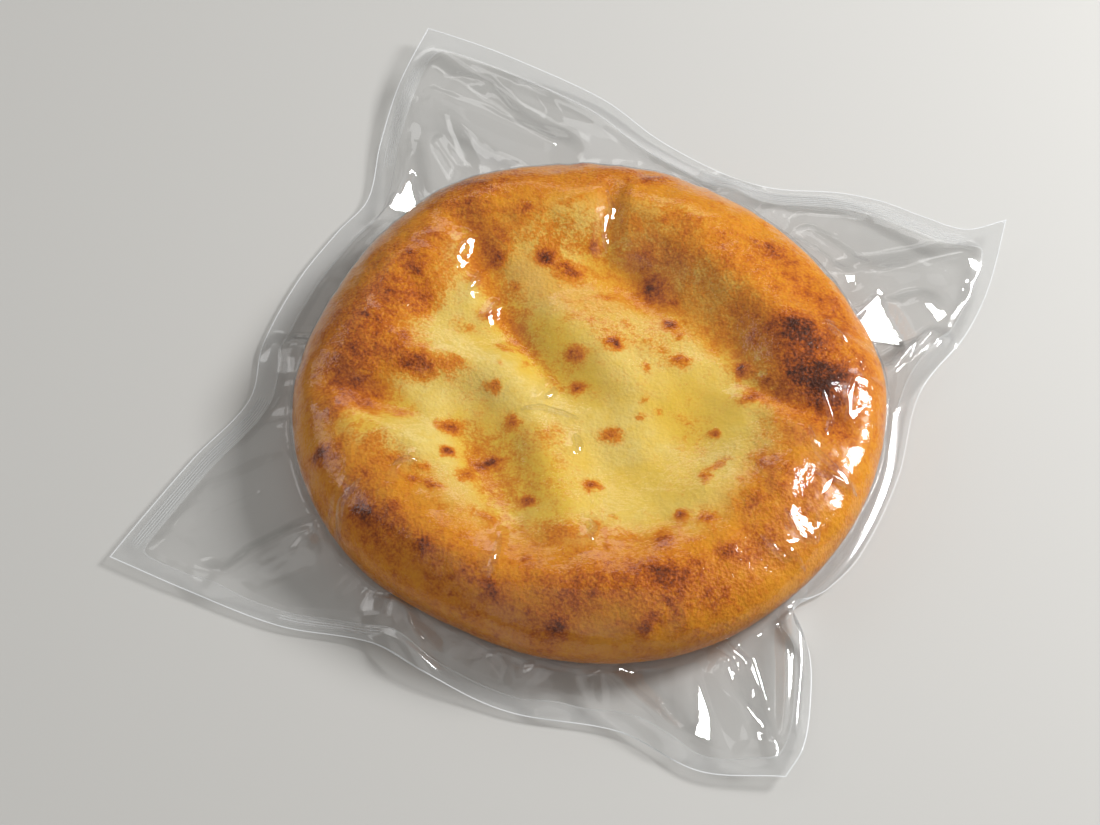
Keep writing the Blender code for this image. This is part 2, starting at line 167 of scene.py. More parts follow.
# Toasted blisters: the amount is how dark the top of each has gone
BLISTERS = records(
    Oval,
    # Far rim and the slope below it
    (-26, 82, 5.5, 5, 0, 0.75), (-17, 60.5, 5, 4, -30, 0.95), (-7, 54, 6.5, 4.5, -20, 0.85),
    (-37, 60, 5, 4, 20, 0.75), (3, 66.5, 2.8, 2.6, 0, 0.75), (-8, 85.5, 2.4, 2.2, 0, 0.55),
    (-2, 115.5, 4.5, 3, 0, 0.7), (-41, 117, 4, 3, 20, 0.6), (-27, 96, 5, 3.5, 0, 0.5),
    (-45, 80.5, 5.5, 3.5, -40, 0.62), (-59, 87.5, 4.5, 3, 0, 0.6), (-7, 78, 4, 3, 0, 0.42),
    (27, 101.5, 6, 3, 15, 0.75), (7, 101, 4, 3, 0, 0.55), (24, 60.5, 4.5, 3.5, 0, 0.62),
    (32, 75, 2.4, 2.2, 0, 0.6), (44, 75.5, 3, 2.6, 0, 0.58), (36, 78.5, 2.2, 2, 0, 0.45),
    (50, 58, 8, 5, 0, 0.48), (59, 54, 2.8, 2.6, 0, 0.64), (56, 90, 5, 3, -30, 0.5),
    (78, 63, 6, 3.6, -30, 0.8), (71, 66, 4, 2.6, -30, 0.62),
    # Left rim
    (-71, 49, 3.6, 3, 0, 0.85), (-63, 69.5, 6, 5, 30, 0.65), (-67, 61, 5, 4, 0, 0.6),
    (-70, 37.5, 11, 8, 50, 0.68), (-93, 25, 10, 8, 60, 0.62), (-76, 15.5, 4, 3.4, 0, 0.68),
    (-99, 7, 5, 4, 0, 0.74), (-68, 4, 9, 5, -10, 0.82), (-52, 5.5, 4, 3, 0, 0.52),
    (-101, -18.5, 7, 5, 60, 0.68), (-105, -38.5, 4.2, 4, 0, 0.88), (-85, -34.5, 6, 4, 0, 0.48),
    (-86, -65.5, 7.5, 4.2, -50, 0.9), (-76, -66.5, 4, 3, -40, 0.74), (-63, -83, 3.8, 3.2, 40, 0.88),
    # Middle
    (-29, 45, 4.5, 3.5, 30, 0.52), (-41, 31.5, 3, 2.6, 0, 0.72), (-34, 32.5, 2, 1.8, 0, 0.64),
    (-49, 24.5, 6, 3, -15, 0.46), (-5, 11, 4, 3.8, 0, 0.76), (-5, -5.5, 3.4, 3, 0, 0.78),
    (-38, -5.5, 3.2, 3, 0, 0.72), (-25, 8, 2.6, 2, 0, 0.42), (-36, 6, 1.8, 1.6, 0, 0.42),
    (-33, 15.5, 6.5, 1.8, -5, 0.46), (-25, 33.5, 2, 1.8, 0, 0.46), (27, 46.5, 6.5, 5.5, -20, 0.92),
    (34, 39, 4, 2.4, 0, 0.72), (41, 46.5, 2, 1.8, 0, 0.52), (34, 27, 3, 2.8, 0, 0.95),
    (38, 21.5, 2.2, 1.8, 0, 0.64), (11, 15.5, 3.8, 3.4, 0, 0.95), (23, 19.5, 2.2, 2, 0, 0.42),
    (32, 13.5, 2, 1.8, 0, 0.42), (23, 5, 2, 1.8, 0, 0.6), (38, 8, 3.6, 2.6, 0, 0.66),
    (9, 42.5, 5, 2, 0, 0.5), (16, 27, 2.2, 2, 0, 0.42), (-55, -24, 4.5, 3.6, 0, 0.76),
    (-56, -37, 2.8, 2.6, 0, 0.9), (-39, -41, 4.6, 2.6, 12, 0.88), (-48, -48, 3.6, 2.6, 20, 0.68),
    (-30, -23, 2.8, 2.6, 0, 0.72), (-16, -28.5, 8, 6, 0, 0.42), (-65, -47, 3, 2.4, 0, 0.56),
    (-69, -52.5, 2.4, 2, 0, 0.72), (-61, -55, 4, 1.8, -20, 0.78), (-76, -43.5, 2.6, 2.2, 0, 0.64),
    (-74, -18.5, 5, 2, 0, 0.46), (-24, -60.5, 3.2, 3, 0, 0.78), (-39, -69, 5, 2.6, -35, 0.6),
    (-12, -77, 5.5, 3.6, 0, 0.64), (1, -53, 3, 2.8, 0, 0.84), (-24, -88.5, 2.4, 2.2, 0, 0.68),
    (9, -27.5, 5, 4.2, 0, 0.6), (22, -11, 2, 1.8, 0, 0.45), (27, -17.5, 2.2, 2, 0, 0.48),
    (20, -18.5, 2.8, 2.2, 0, 0.45), (50, -26.5, 2.6, 2.4, 0, 0.78), (50, -43.5, 6.5, 2.2, 30, 0.56),
    (46, -50, 2.8, 2.4, 0, 0.68), (10, -67, 2.6, 2.2, 0, 0.42), (35, -67, 2.8, 2.6, 0, 0.78),
    (45, -69.5, 3.2, 2.8, 0, 0.72),
    # Right rim
    (67, 16.5, 2.6, 2.4, 0, 0.84), (85, 47, 7, 5, 40, 0.5), (84, 18, 10, 7.5, -30, 1.06),
    (104, 22.5, 4, 3, 0, 0.7), (63, 3.5, 3.2, 3, 0, 0.8), (71, -4.5, 2.6, 2.4, 0, 0.86),
    (89, -2, 13, 10, -30, 0.98), (95, -6, 8, 7, 0, 1.1), (64, -11, 5, 3, 5, 0.74),
    (107, -7.5, 4, 3, 0, 0.62), (69, -46, 3.8, 2.6, 0, 0.72), (77, -48.5, 3, 2.6, 0, 0.66),
    (74, -55.5, 5, 4.4, 0, 0.62), (65, -62, 5, 4.4, 0, 0.62), (84, -57, 7, 5, 20, 0.62),
    # Near rim
    (-38, -100.5, 5.5, 3.6, -50, 0.84), (-56, -100.5, 4, 3, 0, 0.52), (-36, -107, 4, 3, 0, 0.52),
    (-13, -113.5, 4.6, 3.6, 0, 0.88), (-10, -100, 9, 6, 0, 0.66), (-50, -81.5, 13, 7, -35, 0.5),
    (27, -79.5, 4.2, 3.6, 0, 0.78), (38, -81, 2.6, 2.2, 0, 0.62), (51, -85, 3.6, 3.2, 0, 0.82),
    (12, -81, 7, 4, 0, 0.48), (26, -95, 7.5, 5.5, 0, 0.88), (13, -99.5, 6.5, 5, 0, 0.72),
    (33, -100, 5, 4, 0, 0.72), (21, -113.5, 4.6, 3.6, 0, 0.82),
)

# Where the cheese runs out over the rim or, below zero, where the dough shows through it
CHEESY = records(
    Oval,
    (-14, 48, 30, 11, -28, -0.45), (20, 46, 22, 9, -42, -0.6), (52, 30, 24, 12, -50, -0.6),
    (-74, -29, 24, 12, -12, 1), (-47, 64, 15, 12, -50, 0.9), (-4, 72, 13, 12, 0, 0.5),
    (34, 78, 18, 8, -15, 0.5),
)

# Where melted butter stands on the cheese, and, in the last three rows, painted warm shade
BUTTER_AND_WARM_SHADE = records(
    Oval,
    (43, -16, 24, 20, -20, 0.75), (-88, -25, 14, 6, 8, 0.7), (-34, 13, 18, 5, -25, 0.6),
    (-20, 26, 14, 8, -30, 0.4), (-4, -38, 12, 8, -60, 0.4), (-46, 73, 8, 7, 0, 0.6),
    # This line's rows are painted warm shade: butter colour where the crust faces away from the key
    # light.
    (-16, 13, 38, 15, -48, 0.85), (-28, -45, 40, 18, -57, 0.85), (25, -52, 26, 15, 10, 0.55),
)

# The pouch's corners, clockwise from the far one, and what each side between them stands out from
# the straight line: pairs of a fraction along the side and an outward offset in mm
CORNERS = {
    "far": (-72.0, 213.0),
    "right": (183.0, 97.0),
    "near": (71.0, -165.0),
    "left": (-188.0, -70.0),
}
SIDES = {
    "far": (
        (0, 0), (0.16, 1.5), (0.32, -2), (0.44, -14), (0.56, -20.5), (0.64, -19.5),
        (0.74, -10.5), (0.81, -8.5), (0.88, -11), (0.95, -11.5), (1, 0),
    ),
    "right": (
        (0, 0), (0.13, 3.5), (0.23, 1.5), (0.35, -7), (0.5, -2.5), (0.64, -5),
        (0.71, -12), (0.76, -21), (0.81, -9.5), (0.88, -2), (0.95, 2), (1, 0),
    ),
    "near": (
        (0, 0), (0.11, 8), (0.23, 2.5), (0.38, 9), (0.51, 6), (0.6, 0),
        (0.73, 5), (0.88, 3), (1, 0),
    ),
    "left": (
        (0, 0), (0.08, -3.5), (0.18, -8.5), (0.29, -16), (0.38, -8.5), (0.5, -7),
        (0.6, -11), (0.67, -15.5), (0.77, -7.5), (0.88, -1.5), (1, 0),
    ),
}

# Broad folds of the film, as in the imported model, and where it stands off the table
FOLDS = records(
    Fold,
    (-70, 186, -14, 141, 16, 5), (-66, 164, -54, 126, 12, 3.5), (-80, 112, -80, 176, 11, 4),
    (-120, 28, -134, 32, 11, 3), (-114, -66, -146, -82, 13, 3.5), (-74, -96, -70, -121, 15, 6),
    (-16, -123, -14, -137, 12, 2.5), (6, -124, 28, -151, 13, 4.5), (47, -115, 60, -152, 11, 7),
    (80, -94, 77, -148, 10, 6), (124, 12, 146, 30, 13, 6), (116, 40, 142, 52, 14, 4.5),
    (112, 66, 160, 76, 14, 4), (62, 112, 71, 127, 14, 3.5),
)
LIFTS = records(
    Lift,
    (-74, 213, 62, 7), (183, 97, 52, 7), (71, -165, 34, 3), (-66, -122, 20, 4), (-188, -70, 40, 1),
    (138, 30, 26, 3),
)

# Sharp creases of the flange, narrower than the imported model's folds
FLANGE_CREASES = records(
    Fold,
    # Far corner: the pinch inside it, and the strands that run from there to the bread
    (-69, 171, -17, 141, 5, 1.8), (-66, 143, -57, 125, 4, 1.5), (-68, 171, -74, 141, 5, 1.6),
    (-74, 141, -79, 105, 4.5, 1.8), (-68, 171, -55, 180, 4, 1), (-55, 180, -44, 180, 4, 1),
    (-44, 180, -34, 160, 4.5, 1.2), (-25, 177, -17, 162, 7, 1.2), (-90, 115, -79, 105, 4, 1.6),
    # Left side and left corner
    (-133, 32, -120, 29, 4.5, 1.5), (-149, -42, -127, -30, 8, 1.2), (-162, -54, -128, -27, 5, 0.9),
    (-160, -58, -132, -44, 4, 0.8), (-164, -62, -147, -79, 5, 0.8), (-161, -73, -118, -94, 3, 0.9),
    (-139, -81, -131, -70, 5, 1.2), (-131, -70, -120, -64, 5, 1.4), (-120, -64, -108, -59, 5, 1.6),
    (-105, -60, -113, -70, 4, 1.6), (-73, -93, -79, -109, 4, 2), (-72, -96, -67, -106, 4, 1.6),
    (-67, -106, -62, -121, 4.5, 1.4),
    # Near side
    (-65, -105, -59, -112, 4, 1.2), (-52, -112, -44, -112, 4, 1), (-35, -115, -28, -126, 4, 1.4),
    (-28, -126, -18, -121, 4, 1.2), (9, -127, 18, -137, 4, 1.6), (18, -137, 29, -150, 4.5, 1.6),
    (39, -118, 38, -149, 6, 2), (44, -126, 49, -135, 4, 1.4), (49, -135, 64, -146, 4, 1.4),
    (50, -114, 58, -120, 3.5, 2.4), (58, -120, 61, -133, 3.5, 2.6), (61, -133, 64, -147, 3.5, 2),
    (43, -115, 51, -122, 4, 1.6), (74, -103, 71, -153, 3.5, 1.4), (79, -101, 78, -150, 3, 1),
    # Right side and right corner
    (126, 13, 136, 29, 3.5, 2.4), (136, 29, 143, 33, 3.5, 2), (143, 32, 133, 17, 3.5, 1.8),
    (134, 16, 145, 29, 4, 1.2), (128, 67, 151, 66, 5, 1.6), (151, 66, 166, 54, 5, 1.4),
    (112, 55, 129, 62, 4, 1.4), (91, 85, 103, 76, 4, 1.4), (103, 76, 111, 58, 4, 1.4),
    (97, 93, 117, 74, 5, 1.4), (36, 141, 51, 120, 5, 1.2), (60, 117, 75, 117, 6, 1.6),
    (94, 103, 119, 99, 6, 1.4), (7, 180, 25, 157, 4, 1),
)

# Stretches of the flange pulled taut and flat, with hard edges
TAUT = (
    Taut(((109.0, 32.0), (137.0, 34.0), (123.0, 58.0)), 6.0, 0.46, -32.0),
    Taut(((-88.0, 104.0), (-70.0, 103.0), (-76.0, 121.0)), 5.0, 0.62, -27.0),
)

# Sharp creases of the film where it clings to the crust
CLINGING_CREASES = records(
    Fold,
    (83, -28, 100, -53, 3.4, 1.1), (84, -36, 99, -52, 3.2, 0.9), (76, -67, 83, -79, 3.2, 1),
    (68, -80, 77, -79, 3, 0.9), (102, -19, 105, -4, 3, 0.9), (97, 23, 103, 16, 3, 0.9),
    (104, -2, 121, -3, 3, 0.8), (-95, -53, -103, -73, 3, 0.8), (-95, -53, -96, -67, 3, 0.8),
    (-96, -67, -93, -83, 3, 0.8), (-41, -117, -22, -125, 3, 0.8), (-34, -76, -38, -92, 3, 0.9),
    (-55, 58, -51, 69, 5, 2), (-50, 41, -47, 49, 4, 1.5), (-42, 29, -38, 37, 4, 1.5),
    (6.5, 94, 9, 84, 3.4, 1.3), (7, 80, 5, 66, 3.4, 1.3), (-20, -12, -16, -3, 3.6, 1.2),
    (-74, -50, -69, -42, 3.6, 1.2), (-7, -36, -5, -28, 3.2, 1), (-2, -80, 0, -71, 3.4, 1.2),
    (86, -62, 94, -48, 4, 1.2),
)

# Pinched folds, where the vacuum had more film than crust: the points each runs through, in mm
PINCHES = (
    ((86, -28), (88.5, -40), (104, -54.5)),
    ((83, -46.5), (94, -50), (104, -54.5)),
    ((106, -3), (102, -11), (103.5, -17.5), (101, -24)),
    ((74.5, -66), (80.5, -77), (86.5, -76), (87.5, -65)),
    ((64.5, -77), (73.5, -86), (76.5, -82), (82, -86.5)),
    ((97, 24), (100, 19), (105, 15)),
    ((93, -12), (96, -22), (93, -31)),
    ((-34, -77), (-35.5, -86), (-38.5, -97)),
    ((-27, -17), (-18, -15.5), (-10, -17.5), (-4, -20)),
    ((-13, -4), (-14, -8), (-17.5, -11)),
    ((-53, 60), (-50, 66), (-46.5, 69)),
    ((-49, 42), (-46, 47), (-45, 53)),
    ((-41.5, 30), (-39, 34), (-37.5, 39)),
    ((8.5, 93), (11, 84), (10, 79), (7.5, 73), (8.5, 64)),
    ((-76, -46.5), (-71, -43.5), (-67, -44.5)),
    ((-5.5, -28), (-3.5, -32), (-4, -37)),
    ((-0.5, -71), (2, -74), (-0.5, -77), (1, -81)),
    ((-88, -52), (-96, -60), (-97, -72)),
    ((-62, 96), (-52, 100), (-40, 98)),
)

WELD_INSETS = {"far": 9.0, "right": 6.5, "near": 6.5, "left": 9.0}  # mm from the cut edge
RIB_FIELDS = records(
    RibField,
    ("left", 0.02, 0.3), ("far", 0.52, 0.95), ("near", 0.58, 0.74), ("left", 0.72, 0.92),
)


def linear(hex_colour: str) -> tuple[float, float, float, float]:
    """Turn an sRGB colour into the linear one that shaders take.

    Args:
        hex_colour: six hexadecimal digits after a hash.

    Returns:
        Red, green, blue and alpha, from 0 to 1.
    """
    shares = [int(hex_colour[start:start + 2], 16) / 255.0 for start in (1, 3, 5)]
    values = [s / 12.92 if s <= 0.04045 else ((s + 0.055) / 1.055) ** 2.4 for s in shares]
    return (*values, 1.0)


def add_node(
    tree: bpy.types.NodeTree, kind: str, inputs: Mapping[Any, Any] | None = None,
    output: int | str = 0, **settings: Any,
) -> bpy.types.NodeSocket:
    """Add a shader node with its settings, values and links.

    Args:
        tree: the tree that gets it.
        kind: the node's type, without the ShaderNode that each begins with.
        inputs: for each socket's name or number a value, or an output to link.
        output: which of its outputs to return.
        settings: the node's own properties; stops is a ramp's (place, hex colour) pairs.

    Returns:
        The output.
    """
    node = tree.nodes.new("ShaderNode" + kind)
    stops = settings.pop("stops", ())
    for name, value in settings.items():
        setattr(node, name, value)
    for index, (place, colour) in enumerate(stops):
        elements = node.color_ramp.elements
        element = elements[index] if index < 2 else elements.new(place)
        element.position = place
        element.color = linear(colour)
    for socket, value in (inputs or {}).items():
        if isinstance(value, bpy.types.NodeSocket):
            tree.links.new(value, node.inputs[socket])
        else:
            node.inputs[socket].default_value = value
    return node.outputs[output]


def flat_places(x: np.ndarray, y: np.ndarray) -> np.ndarray:
    """Places of the plane z = 0, one a row."""
    return np.stack([x, y, np.zeros_like(x)], axis=1)


def smooth_step(value: np.ndarray) -> np.ndarray:
    """An even rise from 0 to 1 as value goes from 0 to 1."""
    value = np.clip(value, 0.0, 1.0)
    return value * value * (3.0 - 2.0 * value)


def wavy(points: np.ndarray, wave: float, seed: float = 0.0) -> np.ndarray:
    """Smooth noise at points.

    Args:
        points: places, one a row.
        wave: the length of its waves, in the points' unit.
        seed: moves to another part of the noise.

    Returns:
        One value a point, from about -1 to 1.
    """
    return np.array([noise.noise(place) for place in (points / wave + seed).tolist()])


def bent(
    x: np.ndarray, y: np.ndarray, wave: float, reach: float, seed: float
) -> tuple[np.ndarray, np.ndarray]:
    """Shift places, so that what is laid out on them wanders.

    Args:
        x: places.
        y: places, in the same unit.
        wave: the length of the shift's waves.
        reach: the largest shift.
        seed: picks the shift.

    Returns:
        The new x and y.
    """
    places = flat_places(x, y)
    return x + reach * wavy(places, wave, seed), y + reach * wavy(places, wave, seed + 10.0)


def oval_share(ovals: Sequence[Oval], x: np.ndarray, y: np.ndarray) -> np.ndarray:
    """How far inside each oval the places lie.

    Args:
        ovals: the ovals.
        x: places in mm.
        y: places in mm.

    Returns:
        For each oval a row, 1 at its middle and falling away smoothly past its edge.
    """
    rows = []
    for oval in ovals:
        turn = math.radians(oval.turn)
        dx = x - oval.x
        dy = y - oval.y
        along = (dx * math.cos(turn) + dy * math.sin(turn)) / oval.half_length
        across = (dy * math.cos(turn) - dx * math.sin(turn)) / oval.half_width
        rows.append(np.exp(-along * along - across * across))
    return np.array(rows)


def fold_distance(fold: Fold, x: np.ndarray, y: np.ndarray) -> np.ndarray:
    """How far places are from a fold's line.

    Args:
        fold: the fold.
        x: places in mm.
        y: places in mm.

    Returns:
        Distances in mm.
    """
    run_x = fold.x1 - fold.x0
    run_y = fold.y1 - fold.y0
    share = ((x - fold.x0) * run_x + (y - fold.y0) * run_y) / (run_x * run_x + run_y * run_y)
    share = np.clip(share, 0.0, 1.0)
    return np.hypot(x - fold.x0 - run_x * share, y - fold.y0 - run_y * share)


def crease_height(creases: Sequence[Fold], x: np.ndarray, y: np.ndarray) -> np.ndarray:
    """Height of sharp tents with flat sides.

    Args:
        creases: the tents' lines.
        x: places in mm.
        y: places in mm.

    Returns:
        Heights in mm.
    """
    crest_rounding = 0.12
    height = np.zeros_like(x)
    for crease in creases:
        across = fold_distance(crease, x, y) / crease.half_width
        tent = 1.0 + crest_rounding - np.hypot(across, crest_rounding)
        height = np.maximum(height, crease.rise * np.clip(tent, 0.0, 1.0))
    return height


def facets(x: np.ndarray, y: np.ndarray, cell: float, seed: int) -> np.ndarray:
    """Heights of a crumpled sheet: flat triangles between random heights.

    Args:
        x: places in mm.
        y: places in mm.
        cell: the triangles' side in mm.
        seed: picks the heights.

    Returns:
        Heights from 0 to 1.
    """
    table_size = 64
    heights = np.random.default_rng(seed).random((table_size, table_size))
    row = y / (cell * math.sqrt(3.0) / 2.0)
    column = x / cell - row / 2.0
    row_floor = np.floor(row)
    column_floor = np.floor(column)
    up = row - row_floor
    right = column - column_floor
    r = row_floor.astype(int) % table_size
    c = column_floor.astype(int) % table_size
    r_next = (r + 1) % table_size
    c_next = (c + 1) % table_size
    low = heights[r, c] * (1 - up - right) + heights[r, c_next] * right + heights[r_next, c] * up
    high = (
        heights[r_next, c_next] * (up + right - 1)
        + heights[r, c_next] * (1 - up)
        + heights[r_next, c] * (1 - right)
    )
    return np.where(up + right < 1.0, low, high)


class RoundGrid:
    """A square grid drawn round into a disc, which rings can continue outward.

    Attributes:
        cells: how many cells the square has along a side.
        reach: for each point of the disc, 0 at the middle and 1 at the rim.
        turn: for each point, 0 to 4 counter-clockwise, a whole number at the square's corners.
        rim: the disc's rim points in order of turn.
        quads: the disc's faces.
    """

    def __init__(self, cells: int) -> None:
        """Lay the grid out.

        Args:
            cells: how many cells the square has along a side.
        """
        self.cells = cells
        width = cells + 1
        steps = np.linspace(-1.0, 1.0, width)
        x, y = (part.ravel() for part in np.meshgrid(steps, steps))
        wide = np.abs(x) >= np.abs(y)
        with np.errstate(divide="ignore", invalid="ignore"):
            by_side = np.where(wide, 0.5 + y / x / 2.0, 1.5 - x / y / 2.0)
        by_side += np.where(np.where(wide, x, y) < 0.0, 2.0, 0.0)
        self.turn = np.nan_to_num(by_side) % 4.0
        self.reach = np.maximum(np.abs(x), np.abs(y))
        rim = np.flatnonzero(self.reach == 1.0)
        self.rim = rim[np.argsort(self.turn[rim])]
        first = (np.arange(cells)[:, None] * width + np.arange(cells)).ravel()
        self.quads = np.stack([first, first + 1, first + 1 + width, first + width], axis=1)

    def all_quads(self, ring_count: int) -> np.ndarray:
        """The faces of the disc and of the rings round it.

        Args:
            ring_count: how many rings of points follow the disc's.

        Returns:
            Four point numbers a row.
        """
        inner = self.rim
        start = len(self.reach)
        rows = [self.quads]
        for _ in range(ring_count):
            outer = start + np.arange(len(self.rim))
            rows.append(np.stack([inner, outer, np.roll(outer, -1), np.roll(inner, -1)], axis=1))
            inner = outer
            start += len(self.rim)
        return np.concatenate(rows)


def point_normals(points: np.ndarray, quads: np.ndarray) -> np.ndarray:
    """The normals of a mesh of quads.

    Args:
        points: its points, one a row.
        quads: four point numbers a row.

    Returns:
        A unit normal at each point.
    """
    across = points[quads[:, 2]] - points[quads[:, 0]]
    back = points[quads[:, 3]] - points[quads[:, 1]]
    face_normals = np.cross(across, back)
    normals = np.zeros_like(points)
    for corner in range(4):
        np.add.at(normals, quads[:, corner], face_normals)
    return normals / np.maximum(np.linalg.norm(normals, axis=1, keepdims=True), 1e-12)


def mesh_piece(
    name: str, points: np.ndarray, faces: Sequence[Sequence[int]], marks: Mapping[str, np.ndarray]
) -> bpy.types.Object:
    """Make a smooth-shaded piece.

    Args:
        name: the piece's name.
        points: its points in metres.
        faces: lists of point numbers.
        marks: named values at each point, for the material.

    Returns:
        The object.
    """
    mesh = bpy.data.meshes.new(name)
    mesh.from_pydata(points.tolist(), [], faces)
    for mark, values in marks.items():
        attribute = mesh.attributes.new(mark, "FLOAT", "POINT")
        attribute.data.foreach_set("value", values.astype(np.float32))
    mesh.shade_smooth()
    mesh.update()
    piece = bpy.data.objects.new(name, mesh)
    bpy.context.scene.collection.objects.link(piece)
    return piece


def place_piece(piece: bpy.types.Object, node: str, finishes: Sequence[Any]) -> None:
    """Dress a piece and set it in the frame.

    Args:
        piece: the piece.
        node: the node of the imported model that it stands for.
        finishes: what make its materials, in order.
    """
    for finish in finishes:
        piece.data.materials.append(finish.material())
    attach(piece, "root")
    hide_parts(node)
    LOG.info("%s: %d faces", piece.name, len(piece.data.polygons))


COLOUR_MIX = {"data_type": "RGBA", "output": 2}  # mixes colour inputs 6 and 7 by input 0


@dataclass(frozen=True)
class BakedCrust:
    """Cheese dough baked in a deck oven.

    The fat in the dough and the cheese on it give a wet, uneven gloss. Sugars and milk protein
    brown in specks first, so that each brown stretch is a crowd of darker points.
    """

    curd: str = "#E8D688"
    cheese: str = "#DAAF36"
    # Also the colour of painted warm shade in hollows and on slopes facing away from the key light.
    butter_and_warm_shade: str = "#E0B838"
    dough: str = "#DA911E"
    golden: str = "#CF7C18"
    orange_brown: str = "#B35A10"
    brown: str = "#813A0D"
    scorched: str = "#451D0A"
    # These levels apply to the toast mark, painted warm shade included.
    pale_below: float = 0.10  # how browned a speck is where its colour starts to turn
    toasted_above: float = 0.36
    speck: float = 1.1 * MM  # drawn a little coarser than the crust's specks of half a millimetre
    speck_height: float = 0.42 * MM
    mottle: float = 4.0 * MM
    roughness: float = 0.44
    fat_gloss: float = 0.18  # little, because the film that it wets has nearly its index
    glow_depth: float = 1.6 * MM  # how far light spreads in the cheese and dough

    def material(self) -> bpy.types.Material:
        """Make the material.

        Returns:
            The material.
        """
        material = bpy.data.materials.new("baked cheese dough")
        material.use_nodes = True
        tree = material.node_tree
        shader = tree.nodes["Principled BSDF"].inputs
        place = add_node(tree, "TexCoord", output="Object")
        toast_and_warm_shade, cheese, butter_and_warm_shade = (
            add_node(tree, "Attribute", output="Fac", attribute_name=mark)
            for mark in ("toast_and_warm_shade", "cheese", "butter_and_warm_shade")
        )
        mottle = add_node(
            tree, "TexNoise",
            {"Vector": place, "Scale": 1.0 / self.mottle, "Detail": 4.0, "Roughness": 0.6},
        )
        specks = add_node(
            tree, "TexNoise",
            {"Vector": place, "Scale": 1.0 / self.speck, "Detail": 2.0, "Roughness": 0.65},
        )
        grains = add_node(
            tree, "TexVoronoi", {"Vector": place, "Scale": 0.7 / self.speck}, feature="F1"
        )
        uneven = add_node(tree, "Math", {0: mottle, 1: specks}, operation="ADD")
        uneven = add_node(tree, "Math", {0: uneven, 1: -1.0}, operation="ADD")
        # The toast and butter marks hold painted warm shade as well, so the colours made from them
        # carry it.
        swing = add_node(tree, "Math", {0: toast_and_warm_shade, 1: 0.95, 2: 0.20}, operation="MULTIPLY_ADD")
        browned_and_shaded = add_node(tree, "Math", {0: uneven, 1: swing, 2: toast_and_warm_shade}, operation="MULTIPLY_ADD")
        curds = add_node(
            tree, "Mix", {0: mottle, 6: linear(self.cheese), 7: linear(self.curd)}, **COLOUR_MIX
        )
        # Butter colour where the butter mark is, painted warm shade included.
        wet = add_node(tree, "Mix", {0: butter_and_warm_shade, 6: curds, 7: linear(self.butter_and_warm_shade)}, **COLOUR_MIX)
        pale = add_node(tree, "Mix", {0: cheese, 6: linear(self.dough), 7: wet}, **COLOUR_MIX)
        stops = (
            (0.20, self.dough), (0.40, self.golden), (0.58, self.orange_brown),
            (0.78, self.brown), (1.0, self.scorched),
        )
        toasted_and_shaded = add_node(tree, "ValToRGB", {"Fac": browned_and_shaded}, stops=stops)
        turned = add_node(
            tree, "MapRange",
            {"Value": browned_and_shaded, "From Min": self.pale_below, "From Max": self.toasted_above},
            interpolation_type="SMOOTHSTEP",
        )
        colour = add_node(tree, "Mix", {0: turned, 6: pale, 7: toasted_and_shaded}, **COLOUR_MIX)
        tree.links.new(colour, shader["Base Color"])
        roughness = add_node(
            tree, "MapRange",
            {"Value": specks, "From Min": 0.3, "From Max": 0.7,
             "To Min": self.roughness - 0.14, "To Max": self.roughness + 0.12},
        )
        tree.links.new(roughness, shader["Roughness"])
        relief = add_node(tree, "Math", {0: grains, 1: 0.8, 2: specks}, operation="MULTIPLY_ADD")
        calm = add_node(tree, "Math", {0: butter_and_warm_shade, 1: -0.75, 2: 1.0}, operation="MULTIPLY_ADD")
        strength = add_node(tree, "Math", {0: toast_and_warm_shade, 1: 1.2, 2: 0.45}, operation="MULTIPLY_ADD")
        strength = add_node(tree, "Math", {0: strength, 1: calm}, operation="MULTIPLY")
        bump = add_node(
            tree, "Bump", {"Strength": strength, "Distance": self.speck_height, "Height": relief}
        )
        tree.links.new(bump, shader["Normal"])
        shader["Coat Weight"].default_value = self.fat_gloss
        shader["Coat Roughness"].default_value = 0.12
        shader["IOR"].default_value = 1.22
        shader["Subsurface Weight"].default_value = 0.12
        shader["Subsurface Radius"].default_value = (1.0, 0.5, 0.15)
        shader["Subsurface Scale"].default_value = self.glow_depth
        return material


